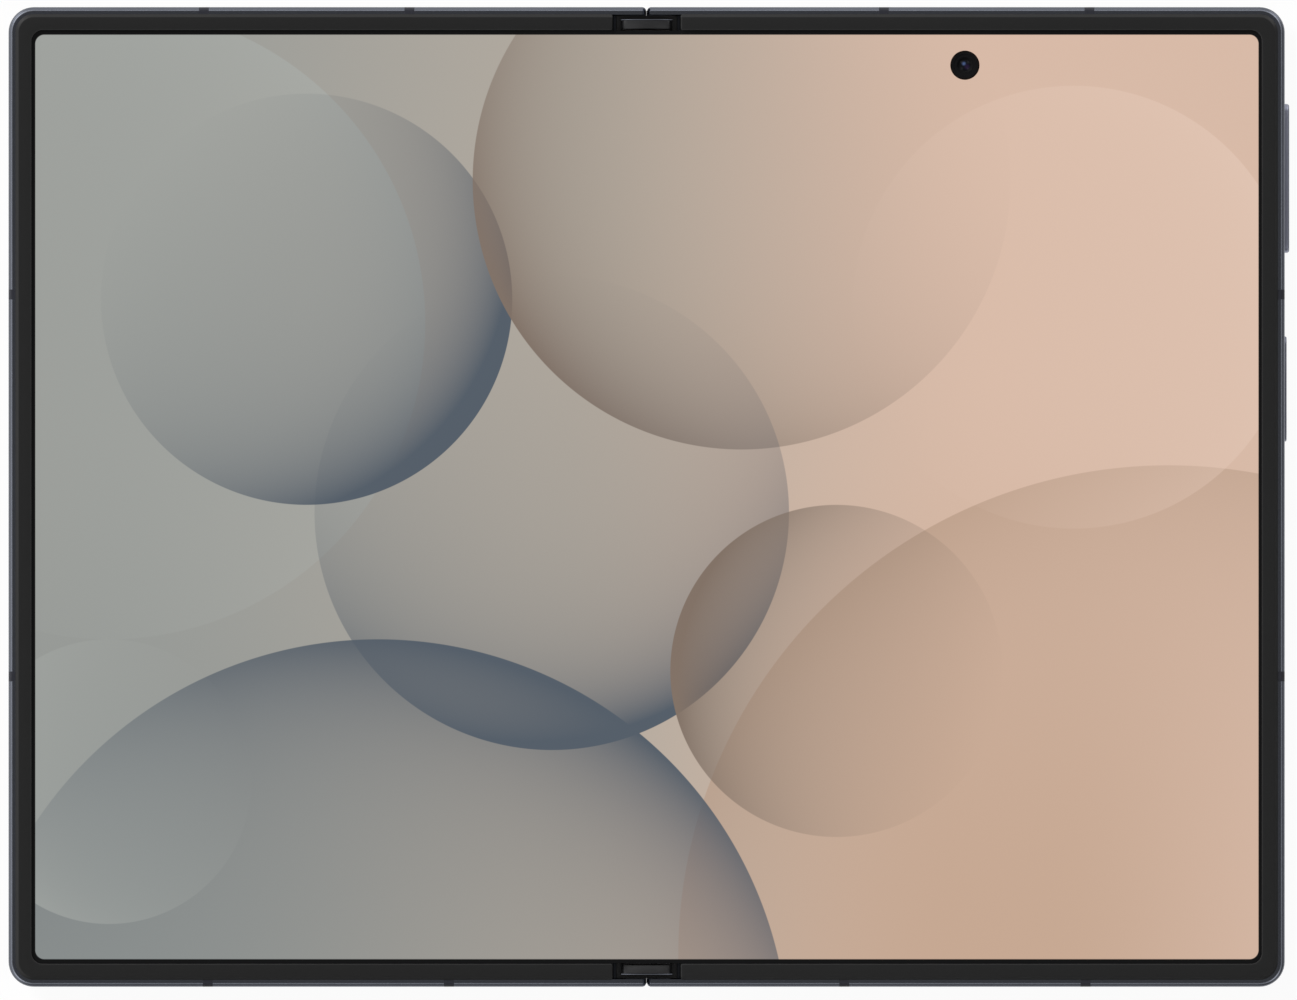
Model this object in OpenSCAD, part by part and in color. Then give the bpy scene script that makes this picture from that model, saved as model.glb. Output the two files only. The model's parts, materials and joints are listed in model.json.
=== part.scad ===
// Foldable smartphone, opened flat and lying on its back.
// +X runs towards the keys, +Y towards the top edge, +Z out of the inner screen.
// The hinge line is x = 0, and z = 0 is the rim of the camera rings.
// Inside lift(), heights are measured from the bezel's face, so they are negative.
// Each half is drawn for x > 0, and on_left() mirrors it to the other side.

/* [Body] */
// Width of one half, from the hinge line to its outer edge
half_w = 80.7; // [79:0.1:90]
// Height of the body, along the hinge line
body_h = 123.9; // [122:0.1:140]
// Thickness of each half, from bezel face to back glass
body_t = 4.9; // [4.9:0.05:6]
// Corner radius of the body, seen from the front
corner_r = 3.2; // [3:0.1:6]
// Radius of the rim's front edge
front_edge_r = 0.5; // [0.3:0.05:0.6]
// Radius of the rim's back edge
back_edge_r = 1.0; // [0.6:0.05:1.1]
// Thickness of the rim's wall
rim_wall = 1.3; // [1.1:0.05:1.4]
// Width of the ledge that carries the back glass, from the outer edge
ledge_w = 2.0; // [1.7:0.05:2.4]
// Thickness of the ledge that carries the back glass
ledge_t = 0.4; // [0.3:0.05:0.6]
// Thickness of the plate that carries the inner display
plate_t = 0.5; // [0.4:0.05:0.6]
// Radius of the rim's upright corners beside the hinge line
notch_r = 0.55; // [0.3:0.05:0.7]
// Thickness of the rim where it passes the ends of the spine
end_wall = 0.95; // [0.8:0.05:1]

/* [Inner display and bezel] */
// Height of the bezel over the display
bezel_t = 0.35; // [0.25:0.05:0.4]
// Distance from the outer edge to the foot of the bezel's slope
bezel_foot = 0.885; // [0.7:0.005:0.95]
// Distance from the outer edge to the bezel's flat
bezel_flat = 1.27; // [1.1:0.01:1.4]
// Distance from the outer edge to the bezel's inner edge
bezel_in = 2.91; // [2.6:0.01:2.95]
// Distance from the hinge line to the bezel's end
bezel_end = 4.29; // [4.2:0.01:4.6]
// Corner radius of the bezel's opening
opening_r = 1.4; // [1:0.1:3]
// Thickness of the flexible display
panel_t = 0.6; // [0.5:0.05:0.65]
// Distance from the outer edge to the display's hidden edge
panel_inset = 1.65; // [1.55:0.05:1.8]
// Half width of the stretch of display that folds
flex_half = 4.35; // [4.3:0.01:4.4]
// Distance from the body's ends to the folding stretch
flex_inset = 3.0; // [2.95:0.01:3.4]
// Diameter of the hole for the inner camera
camera_hole_d = 3.7; // [3:0.1:4.5]
// Distance from the middle of the half to the inner camera, towards the hinge
camera_shift = 0.1; // [-8:0.05:8]
// Distance from the top edge to the inner camera
camera_inset = 7.35; // [7:0.05:9]

/* [Back] */
// Thickness of the back glass and the cover glass
glass_t = 0.55; // [0.4:0.05:0.6]
// Distance from the outer edge to the back glass
glass_inset = 0.9; // [0.7:0.05:1]
// Width of the metal strip between hinge line and back glass
rail_w = 2.35; // [2:0.05:2.6]
// Distance from the outer edge to the middle of the camera island
island_side = 14.5; // [12.5:0.1:20]
// Distance from the top edge to the island's first lens
island_inset = 11.5; // [11:0.1:16]
// Distance between neighbouring rear lenses
lens_pitch = 13.6; // [13:0.1:15]
// Radius of the camera island's round ends
island_r = 7.0; // [6.6:0.1:7.4]
// Height of the camera island over the back glass
island_h = 1.0; // [0.6:0.05:1.4]
// Radius of the island's rim
island_edge_r = 0.4; // [0.2:0.05:0.5]
// Outer radius of a lens ring
ring_r = 5.9; // [5.4:0.1:6.3]
// Radius of a lens window
window_r = 4.7; // [4:0.1:5]
// Height of a lens ring over the island
ring_h = 0.8; // [0.5:0.05:1]
// Radius of the flash window
flash_r = 1.5; // [1:0.1:2]

/* [Hinge] */
// Distance from the hinge line to each half's axis
axis_x = 1.45; // [1.43:0.01:1.48]
// Depth of each half's axis below the bezel's face
axis_depth = 1.4; // [1.36:0.01:1.41]
// Outer radius of the spine cover about each axis
spine_r = 2.9; // [2.88:0.01:2.91]
// Thickness of the spine cover
spine_wall = 0.3; // [0.25:0.01:0.32]
// Depth of the spine cover's rims below the bezel's face
spine_rim_depth = 2.3; // [2.3:0.01:2.4]
// Gap between the spine cover and the halves
tunnel_gap = 0.1; // [0.05:0.01:0.1]
// Distance from the body's ends to the end of the spine
spine_inset = 1.05; // [1.02:0.01:1.1]
// Depth below the bezel's face of the top of the hinge mechanism
mech_depth = 1.55; // [1.53:0.01:1.57]
// Distance from the middle of the hinge line to each hinge module
module_y = 30; // [27:0.5:34]
// Module of the timing gears
gear_m = 0.13; // [0.13:0.01:0.13]
// Pressure angle of the timing gears
pressure = 25; // [25:1:25]
// Teeth of the pinions
pinion_n = 12; // [12:1:12]
// Teeth of the idler gears
idler_n = 14; // [14:1:14]
// Teeth of a full ring, of which each rotator has a part
ring_n = 32; // [32:1:32]
// Direction from a half's axis to its pinion
mesh_dir = 325; // [323:0.5:326]
// Length of a gear
gear_len = 2.9; // [2.5:0.1:3.2]
// Radius of a pinion's journals
journal_r = 0.4; // [0.35:0.01:0.42]
// Radius of an idler's journals
idler_journal_r = 0.35; // [0.3:0.01:0.37]
// Radial clearance of journals and pivots
run_gap = 0.03; // [0.02:0.01:0.05]
// Radius of the bracket's round land that a rotator turns on
land_r = 2.0; // [1.98:0.01:2.02]

/* [Display wing plates] */
// Thickness of a wing plate
wing_t = 0.17; // [0.12:0.01:0.2]
// Distance from the hinge line to a wing plate's pivot
wing_pivot_x = 7.0; // [6.8:0.1:7.3]
// Distance from the hinge line to a wing plate's inner edge
wing_in = 1.5; // [1.5:0.01:1.6]
// Radius of a wing plate's pivot rod
wing_rod_r = 0.25; // [0.2:0.01:0.27]

/* [Keys] */
// Length of the volume rocker
rocker_len = 18.84; // [14:0.1:21]
// Distance from the top edge to the rocker's middle
rocker_inset = 21.65; // [20:0.05:24]
// How far the rocker stands out
rocker_out = 0.58; // [0.3:0.01:0.7]
// Length of the side key
side_key_len = 13.3; // [10:0.1:15]
// Distance from the top edge to the side key's middle
side_key_inset = 48.29; // [45:0.01:50]
// How far the side key stands out
side_key_out = 0.25; // [0.2:0.01:0.5]
// Width of the keys, across the body's thickness
key_w = 1.9; // [1.6:0.05:2]
// Clearance round a key
key_gap = 0.1; // [0.08:0.01:0.12]
// Travel of the keys at the switches
key_travel = 0.2; // [0.15:0.01:0.2]

/* [Ports] */
// Distance from the middle of the half to the USB-C socket, away from the hinge
usb_shift = 0.15; // [-3:0.05:3]
// Width of the socket's mouth
usb_w = 8.34; // [8.34:0.01:8.4]
// Height of the socket's mouth
usb_h = 2.56; // [2.5:0.01:2.6]
// Radius of a loudspeaker hole
sound_hole_r = 0.5; // [0.3:0.05:0.6]
// Distance between loudspeaker holes
sound_pitch = 1.9; // [1.6:0.05:2.2]
// Width of the SIM tray's head
tray_w = 14.4; // [14:0.1:15]
// Height of the SIM tray's head, across the body's thickness
tray_h = 1.8; // [1.6:0.05:1.9]
// Distance from the outer edge to the middle of the SIM tray
tray_side = 39.7; // [36:0.1:44]

/* [Antenna breaks] */
// Width of an antenna break
band_w = 1.25; // [0.8:0.05:1.6]
// Depth of an antenna break into the rim
band_depth = 0.9; // [0.6:0.05:1]
// Distances of the top edge's breaks from the hinge line and from the outer edge
band_top = [30, 24.7];
// Distances of the bottom edge's breaks from the hinge line and from the outer edge
band_bottom = [25, 25.2];
// Distances of the side edge's breaks from the top edge
band_side = [36.35, 84.65];

/* [Inner parts] */
// Clearance between fixed inner parts
fit = 0.05; // [0.03:0.01:0.1]
// Gap between the batteries and the shelf beside the keys
battery_side = 2.75; // [1.5:0.25:8]
// Gap between the battery and the rear cameras
battery_gap = 3.2; // [2:0.1:6]
// Height of the bay under the battery, with the socket and the loudspeaker
bottom_bay = 17; // [16.5:0.1:22]
// Thickness of the circuit boards
board_t = 0.5; // [0.4:0.05:0.6]
// Radius of the charging coil
coil_r = 19; // [15:0.5:24]

/* [Hidden] */
$fn = 48;
big = 50;
half_h = body_h / 2;
island_out = island_h + ring_h;
front_z = body_t + island_out;
rim_top = -bezel_t;
panel_top = -bezel_t;
panel_under = panel_top - panel_t;
plate_under = panel_under - plate_t;
glass_top = glass_t - body_t;
cavity_z = glass_top + fit;
hinge_gap = axis_x - axis_depth;
tunnel_r = spine_r + tunnel_gap;
tunnel_wall = 0.75;
tunnel_x = axis_x + tunnel_r;
wall_x = tunnel_x + tunnel_wall;
plate_x = 8;
spine_h = half_h - spine_inset;
mech_z = -mech_depth;
cap_len = 1.25;
cap_half = 2.97;
cap_gap = 0.6;

// timing gears
ring_pr = gear_m * ring_n / 2;
pinion_pr = gear_m * pinion_n / 2;
idler_pr = gear_m * idler_n / 2;
addendum = gear_m;
dedendum = 1.25 * gear_m;
backlash = 0.02;
pinion_x = axis_x + (ring_pr - pinion_pr) * cos(mesh_dir);
pinion_z = (ring_pr - pinion_pr) * sin(mesh_dir) - axis_depth;
idler_x = idler_pr;
idler_reach = sqrt(pow(pinion_pr + idler_pr, 2) - pow(pinion_x - idler_x, 2));
idler_z = pinion_z - idler_reach;
idler_dir = 180 + atan2(pinion_z - idler_z, pinion_x - idler_x);
ring_phase = mesh_dir;
pinion_phase = mesh_dir;
idler_phase = idler_dir + 180 + 180 / idler_n - (pinion_phase - idler_dir) * pinion_n / idler_n;
rotator_r = spine_r - spine_wall - 0.1;
rotator_from = 225;
rotator_to = 350;
rail_r = land_r + 0.05;

// stations along a hinge module, from module_y outwards
block_a = [-2.9, 1.6];
rail_len = 1.2;
side_gap = 0.15;
right_rail = block_a[1] + side_gap;
right_teeth = right_rail + rail_len;
left_rail = right_teeth + gear_len + 0.2;
left_teeth = left_rail + rail_len;
case_from = left_teeth + gear_len + side_gap;
case_wall = 1.2;
idler_from = case_from + case_wall + 0.1;
idler_len = gear_len - 0.3;
case_to = idler_from + idler_len + 0.1;
washer_from = case_to + 0.6;
washer_n = 5;
washer_t = 0.14;
washer_pitch = 0.22;
washer_r = 0.8;
shaft_to = washer_from + washer_n * washer_pitch + 0.6;
block_b = [case_to, shaft_to + 2.6];
bracket_r = spine_r - spine_wall - 0.03;
bracket_screw_x = 1.5;
bracket_screws_s = [block_a[0] + 1.3, block_b[1] - 1.3];
screw_head_r = 0.8;
screw_head_t = 0.4;
screw_r = 0.45;
boss_h = 0.7;
tab_len = 8;
tab_t = 0.55;
tab_to = 11;
tab_z = mech_z - 0.05;
tab_screw_x = 9.6;

// wing plates
wing_top = panel_under - 0.03;
wing_pivot_z = wing_top - wing_t - wing_rod_r + 0.08;
wing_half = half_h - 4.45;
lug_len = 1.6;
lugs = [-0.87, -0.31, -0.18, 0.18, 0.31, 0.87] * half_h;
wing_slot_pitch = 5;
wing_slots = floor((wing_half - 5) / wing_slot_pitch);

// keys
rocker_y = half_h - rocker_inset;
side_key_y = half_h - side_key_inset;
key_z = -2.55;
key_edge_r = 0.22;
key_flange_t = 0.25;
key_flange_x = half_w - rim_wall - key_travel - 0.05 - key_flange_t;
switch_t = 0.5;
switch_x = key_flange_x - key_travel - 0.05 - switch_t;
flex_t = 0.2;
shelf_x = switch_x - flex_t - 0.7;

// ports
usb_x = half_w / 2 + usb_shift;
usb_z = -2.65;
usb_wall = 0.2;
usb_len = 7.4;
tray_x = half_w - tray_side;
tray_z = -2.5;
tray_len = 15;
sound_z = -2.4;
speaker_x = [usb_x + 8, half_w - 7.2];
earpiece_x = [half_w - 20.7, half_w - 6.7];
mic_x = half_w - 28.7;

// inner parts
camera_x = half_w / 2 - camera_shift;
island_x = half_w - island_side;
camera_base = 10;
lens_ys = [for (i = [0 : 2]) half_h - island_inset - i * lens_pitch];
battery_x = plate_x + 4.5;
battery_w = shelf_x - battery_side - battery_x;
battery_y = bottom_bay - half_h;
battery_h = lens_ys[2] - camera_base / 2 - battery_gap - battery_y;
left_battery_y = tray_len + 5 - half_h;
battery_rib = [0.5, 1.1];
board_z = plate_under - 0.6;
board_x = [plate_x + 3, island_x - camera_base / 2 - 6.2];
board_y = [battery_y + battery_h + 10.9, half_h - 2];
sub_board_x = [plate_x + 3, half_w - 6.7];
magnet_len = 8;
magnet_t = 1.7;
magnet_ys = [17, 27];
motor_len = 14;
motor_w = 9;
flash_x = island_x - island_r - 3.4;
flash_y = half_h - island_inset;
cover_camera_x = (half_w + rail_w) / 2;
cover_camera_y = half_h - 6.2;

// Cans over the board's chips, from one share of its width and height to another
shields = [[0.11, 0.06, 0.52, 0.53], [0.57, 0.06, 0.89, 0.53], [0.11, 0.59, 0.54, 0.91]];

// ---------------------------------------------------------------- helpers

function shifted(span, by) = [for (v = span) v + by];

module lift() translate([0, 0, front_z]) children();

module on_left() mirror([1, 0, 0]) children();

module both_ends() {
    children();
    mirror([0, 1, 0]) children();
}

// Extrudes an outline drawn in x and z from y0 to y1
module along_y(y0, y1) {
    translate([0, y1, 0]) rotate([90, 0, 0]) linear_extrude(y1 - y0) children();
}

// Extrudes an outline drawn in y and z from x0 to x1
module along_x(x0, x1) {
    translate([x0, 0, 0]) rotate([90, 0, 90]) linear_extrude(x1 - x0) children();
}

module block(x, y, z) {
    translate([x[0], y[0], z[0]]) cube([x[1] - x[0], y[1] - y[0], z[1] - z[0]]);
}

module rounded(x, y, r) {
    translate([x[0] + r, y[0]]) square([x[1] - x[0] - 2 * r, y[1] - y[0]]);
    translate([x[0], y[0] + r]) square([x[1] - x[0], y[1] - y[0] - 2 * r]);
    for (cx = [x[0] + r, x[1] - r], cy = [y[0] + r, y[1] - r])
        translate([cx, cy]) circle(r);
}

module rounded_block(x, y, z, r) {
    translate([0, 0, z[0]]) linear_extrude(z[1] - z[0]) rounded(x, y, r);
}

module disc(x, y, z, r) {
    translate([x, y, z[0]]) cylinder(r = r, h = z[1] - z[0]);
}

// Outline of a half inset from its outer edge, starting at x0
module half_plan(x0, inset) {
    r = corner_r - inset;
    x1 = half_w - inset;
    y1 = half_h - inset;
    translate([x0, -y1]) square([x1 - r - x0, 2 * y1]);
    translate([x0, r - y1]) square([x1 - x0, 2 * (y1 - r)]);
    for (cy = [r - y1, y1 - r])
        translate([x1 - r, cy]) circle(r);
}

module half_plate(x0, inset, z) {
    translate([0, 0, z[0]]) linear_extrude(z[1] - z[0]) half_plan(x0, inset);
}

// Sweeps an outline, drawn inwards from the edge, round a half's three free sides
module around_half(x0) {
    cx = half_w - corner_r;
    cy = half_h - corner_r;
    along_y(-cy, cy) translate([half_w, 0]) mirror([1, 0]) children();
    both_ends() {
        along_x(x0, cx) translate([half_h, 0]) mirror([1, 0]) children();
        translate([cx, cy, 0])
            rotate_extrude(angle = 90) translate([corner_r, 0]) mirror([1, 0]) children();
    }
}

// Round-ended bar along y, from a section drawn outwards from its middle line
module round_bar(len) {
    for (side = [0, 1]) mirror([side, 0, 0])
        translate([0, len / 2, 0]) rotate([90, 0, 0]) linear_extrude(len) children();
    for (end = [0, 1]) mirror([0, end, 0])
        translate([0, len / 2, 0]) rotate_extrude(angle = 180) children();
}

// Removes what lies outside a quarter round of radius r with its centre at [x, z]
module corner_cut(x, z, r, sx, sz) {
    difference() {
        translate([x + (sx < 0 ? -r - 1 : 0), z + (sz < 0 ? -r - 1 : 0)]) square(r + 1);
        translate([x, z]) circle(r);
    }
}

// ---------------------------------------------------------------- gears

function rad(a) = a * PI / 180;
function inv(a) = tan(a) - rad(a);
function flank_angle(r, pr, n, thick) =
    let (rb = pr * cos(pressure), a = acos(min(1, rb / max(r, rb))))
    thick / pr / 2 * 180 / PI + (inv(pressure) - inv(a)) * 180 / PI;

// Outline of one tooth, centred on direction a
function tooth(a, pr, n, r0, r1, thick) =
    let (rb = pr * cos(pressure), from = max(r0, rb), steps = 3)
    concat(
        [[r0, a - flank_angle(from, pr, n, thick)]],
        [for (i = [0 : steps]) let (r = from + (r1 - from) * i / steps)
            [r, a - flank_angle(r, pr, n, thick)]],
        [for (i = [steps : -1 : 0]) let (r = from + (r1 - from) * i / steps)
            [r, a + flank_angle(r, pr, n, thick)]],
        [[r0, a + flank_angle(from, pr, n, thick)]]
    );

function polar(list) = [for (p = list) p[0] * [cos(p[1]), sin(p[1])]];

module gear(pr, n, phase) {
    thick = PI * gear_m / 2 - backlash;
    polygon(polar([for (i = [0 : n - 1]) each
        tooth(phase + i * 360 / n, pr, n, pr - dedendum, pr + addendum, thick)]));
}

// The spaces between a ring's teeth, which a rotator has on its inside
module ring_spaces(phase) {
    thick = PI * gear_m / 2 + backlash;
    pitch = 360 / ring_n;
    first = ceil((rotator_from - 8 - phase) / pitch);
    last = floor((rotator_to + 2 - phase) / pitch);
    for (i = [first : last])
        polygon(polar(tooth(phase + i * pitch, ring_pr, ring_n,
            ring_pr - addendum - 0.1, ring_pr + dedendum, thick)));
}

// ---------------------------------------------------------------- spine

module at_axis() translate([axis_x, -axis_depth]) children();

// Outline about both axes with radius r, cut off at height top
module spine_outline(r, top) {
    difference() {
        union() {
            for (side = [-1, 1])
                translate([side * axis_x, -axis_depth]) circle(r);
            translate([-axis_x, -axis_depth - r]) square([2 * axis_x, r]);
        }
        translate([-big / 2, top]) square(big);
    }
}

module at_modules() both_ends() translate([0, module_y, 0]) children();

module spine_cover() color("#3c404a") lift() {
    difference() {
        union() {
            difference() {
                along_y(-spine_h, spine_h) spine_outline(spine_r, -spine_rim_depth);
                along_y(-spine_h - 1, spine_h + 1)
                    spine_outline(spine_r - spine_wall, 1);
            }
            at_modules() for (x = [-1, 1] * bracket_screw_x, s = bracket_screws_s)
                disc(x, s, [-axis_depth - spine_r + spine_wall / 2,
                    -axis_depth - spine_r + spine_wall + boss_h], screw_head_r);
        }
        at_modules() for (x = [-1, 1] * bracket_screw_x, s = bracket_screws_s)
            disc(x, s, [-axis_depth - spine_r + spine_wall / 2, 0], screw_r);
    }
}

// Plug in each end of the spine, with the domed cap that shows beside the display
module spine_end_caps() color("#2c2c30") lift() {
    dome_r = 10;
    cap_top = -0.55;
    y0 = spine_h - cap_gap - cap_len;
    both_ends() {
        along_y(y0, y0 + cap_len) {
            spine_outline(bracket_r, -spine_rim_depth + 0.1);
            intersection() {
                translate([-cap_half, -spine_rim_depth - 0.5]) square([2 * cap_half, 2.5]);
                translate([0, cap_top - dome_r]) circle(dome_r, $fn = 96);
            }
        }
        along_y(spine_h - cap_gap, spine_h) difference() {
            spine_outline(bracket_r, -spine_rim_depth + 0.1);
            translate([-1.2, -3.2]) square([2.4, 0.6]);
        }
    }
}

// Round land that one half's rotators turn on
module land_outline() difference() {
    at_axis() circle(land_r);
    translate([-big / 2, mech_z]) square(big);
}

module hinge_bracket() {
    difference() {
        union() {
            along_y(block_a[0], block_a[1]) spine_outline(bracket_r, mech_z);
            along_y(right_rail, right_teeth - 0.05) land_outline();
            on_left() along_y(left_rail, left_teeth - 0.05) land_outline();
            along_y(case_from, block_b[1]) spine_outline(bracket_r, mech_z);
            block([-0.5, 0.5], [block_a[1] - 0.5, case_from + 0.5], [-2.4, mech_z]);
        }
        // gear case
        along_y(case_from + case_wall, case_to) {
            for (side = [-1, 1]) {
                translate([side * idler_x, idler_z]) circle(idler_pr + addendum + 0.08);
                translate([side * pinion_x, pinion_z]) circle(pinion_pr + addendum + 0.08);
            }
            translate([-3.3, -2.2]) square([6.6, 2]);
        }
        for (side = [-1, 1]) {
            // journal bores
            along_y(block_a[1] - 1.3, shaft_to + 0.1)
                translate([side * pinion_x, pinion_z]) circle(journal_r + run_gap);
            along_y(idler_from - 0.8, case_to + 0.7)
                translate([side * idler_x, idler_z]) circle(idler_journal_r + run_gap);
            // pocket of the friction washers
            along_y(washer_from - 0.1, shaft_to - 0.5)
                translate([side * pinion_x, pinion_z]) circle(washer_r + 0.08);
            // screws and their bosses
            for (s = bracket_screws_s) {
                disc(side * bracket_screw_x, s, [-big, 0], screw_r + fit);
                disc(side * bracket_screw_x, s, [mech_z - screw_head_t - fit, 0], screw_head_r + fit);
                disc(side * bracket_screw_x, s,
                    [-big, -axis_depth - spine_r + spine_wall + boss_h + fit], screw_head_r + fit);
            }
        }
    }
}

module hinge_brackets() color("#8a8d92") lift() at_modules() hinge_bracket();

module screw(x, y, z, len, head_r, r) {
    difference() {
        union() {
            disc(x, y, [z, z + screw_head_t], head_r);
            disc(x, y, [z - len, z + screw_head_t / 2], r);
        }
        disc(x, y, [z + screw_head_t / 2, z + 1], head_r / 2.4, $fn = 24);
    }
}

module bracket_screws() color("#b9bbc0") lift() at_modules()
    for (x = [-1, 1] * bracket_screw_x, s = bracket_screws_s)
        screw(x, s, mech_z - screw_head_t - 0.02,
            axis_depth + spine_r - spine_wall - mech_depth - screw_head_t - 0.02 - 0.01,
            screw_head_r, screw_r - 0.01);

// Room for the display to sag as it bends
bend_gap = 0.18;

module display_support_bar() color("#9a9da3") lift()
    along_y(fit - wing_half, wing_half - fit)
        translate([-1.25, mech_z]) square([2.5, panel_under - bend_gap - mech_z]);

module display_fold() color("#b4b2a8") lift()
    block([-flex_half, flex_half], [flex_inset - half_h, half_h - flex_inset],
        [panel_under, panel_top]);

// Ribbon cable across the hinge, with a slack loop inside the spine
cable_reach = 11.5;
cable_loop = 4.4;
cable_dip = 1.4;
cable_t = 0.12;
cable_half = 5.5;

function cable_z(x) =
    mech_z - 0.25 - (abs(x) < cable_loop ? cable_dip * (1 + cos(180 * x / cable_loop)) / 2 : 0);

module hinge_flex_cable() color("#8c5a2b") lift() {
    xs = [-cable_reach, each [for (i = [-12 : 12]) cable_loop * i / 12], cable_reach];
    along_y(-cable_half, cable_half) polygon(concat(
        [for (x = xs) [x, cable_z(x)]],
        [for (i = [len(xs) - 1 : -1 : 0]) [xs[i], cable_z(xs[i]) - cable_t]]
    ));
}

module pinion_shaft(teeth_at, phase) translate([pinion_x, 0, pinion_z]) {
    along_y(block_a[1] - 1.2, shaft_to) circle(journal_r);
    along_y(teeth_at + 0.05, teeth_at + gear_len - 0.05) gear(pinion_pr, pinion_n, phase);
    along_y(idler_from, idler_from + idler_len) gear(pinion_pr, pinion_n, phase);
}

module pinion_right() color("#a7a9ad") lift() at_modules()
    pinion_shaft(right_teeth, pinion_phase);

module pinion_left() color("#a7a9ad") lift() at_modules() on_left()
    pinion_shaft(left_teeth, pinion_phase + 180 / pinion_n);

module washers() for (i = [0 : washer_n - 1])
    along_y(washer_from + i * washer_pitch, washer_from + i * washer_pitch + washer_t)
        translate([pinion_x, pinion_z]) difference() {
            circle(washer_r);
            circle(journal_r);
        }

module friction_washers_right() color("#c4c6ca") lift() at_modules() washers();

module friction_washers_left() color("#c4c6ca") lift() at_modules() on_left() washers();

module idler(phase) {
    translate([idler_x, 0, idler_z]) {
        along_y(idler_from, idler_from + idler_len) gear(idler_pr, idler_n, phase);
        along_y(idler_from - 0.7, case_to + 0.6) circle(idler_journal_r);
    }
}

module idler_gear_right() color("#a7a9ad") lift() at_modules() idler(idler_phase);

module idler_gear_left() color("#a7a9ad") lift() at_modules() on_left()
    idler(idler_phase + 180 / idler_n);

// ---------------------------------------------------------------- rotators

// Curved arm that turns about a half's axis, with its foot over the spine's rim
module rotator_outline(inner_r) {
    difference() {
        union() {
            intersection() {
                at_axis() circle(rotator_r);
                at_axis() polygon([
                    [0, 0],
                    big * [cos(rotator_from), sin(rotator_from)],
                    big * [0, -1],
                    big * [cos(rotator_to), sin(rotator_to)]
                ]);
            }
            translate([axis_x, -spine_rim_depth + 0.1])
                square([tunnel_x + 0.3 - axis_x, spine_rim_depth - 0.1 + tab_z]);
        }
        at_axis() circle(inner_r);
    }
}

module rotator(rail_at, phase) {
    teeth_at = rail_at + rail_len;
    mid = rail_at + (rail_len + gear_len) / 2;
    difference() {
        union() {
            along_y(rail_at, teeth_at + 0.05) rotator_outline(rail_r);
            along_y(teeth_at, teeth_at + gear_len) difference() {
                rotator_outline(ring_pr - addendum);
                at_axis() ring_spaces(phase);
            }
            block([tunnel_x + 0.2, tab_to], [mid - tab_len / 2, mid + tab_len / 2],
                [tab_z - tab_t, tab_z]);
            block([plate_x, tab_to], [mid - tab_len / 2, mid + tab_len / 2],
                [tab_z - 0.1, plate_under]);
        }
        for (y = tab_screws(rail_at)) disc(tab_screw_x, y, [-big, 0], screw_r);
    }
}

function tab_screws(rail_at) =
    [for (side = [-1, 1]) rail_at + (rail_len + gear_len) / 2 + side * (tab_len / 2 - 1.6)];

module tab_screw_set(rail_at)
    for (y = tab_screws(rail_at))
        translate([tab_screw_x, y, tab_z - tab_t]) mirror([0, 0, 1])
            screw(0, 0, 0, tab_t - tab_z + panel_under - 0.1, screw_head_r, screw_r - 0.01);

module rotator_right() color("#9c9ea3") lift() at_modules() rotator(right_rail, ring_phase);

module rotator_screws_right() color("#b9bbc0") lift() at_modules() tab_screw_set(right_rail);

module rotator_left() color("#9c9ea3") lift() at_modules() on_left()
    rotator(left_rail, ring_phase + 180 / ring_n);

module rotator_screws_left() color("#b9bbc0") lift() at_modules() on_left()
    tab_screw_set(left_rail);

// ---------------------------------------------------------------- frames

// Section of the rim, drawn inwards from the outer edge
module rim_section() {
    difference() {
        translate([0, -body_t]) square([ledge_w, body_t - bezel_t]);
        translate([rim_wall, glass_top + ledge_t])
            square([big, plate_under - glass_top - ledge_t]);
        translate([glass_inset, -body_t - 1]) square([big, glass_t + 1]);
        translate([panel_inset - fit, panel_under]) square(big);
        corner_cut(front_edge_r, rim_top - front_edge_r, front_edge_r, -1, 1);
        corner_cut(back_edge_r, back_edge_r - body_t, back_edge_r, -1, -1);
    }
}

// Section of the rim where it passes the ends of the spine
module end_section() {
    difference() {
        translate([0, -body_t]) square([end_wall, body_t - bezel_t]);
        corner_cut(front_edge_r, rim_top - front_edge_r, front_edge_r, -1, 1);
        corner_cut(back_edge_r, back_edge_r - body_t, back_edge_r, -1, -1);
    }
}

// Wall and back strip that wrap round the spine
module tunnel_section() {
    difference() {
        translate([hinge_gap, -body_t]) square([wall_x - hinge_gap, body_t + mech_z + 0.05]);
        at_axis() circle(tunnel_r);
        translate([-1, -axis_depth - tunnel_r]) square([1 + axis_x, big]);
        translate([rail_w - fit, -body_t - 1]) square([big, glass_t + 1]);
        corner_cut(hinge_gap + 0.4, 0.4 - body_t, 0.4, -1, -1);
    }
}

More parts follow.
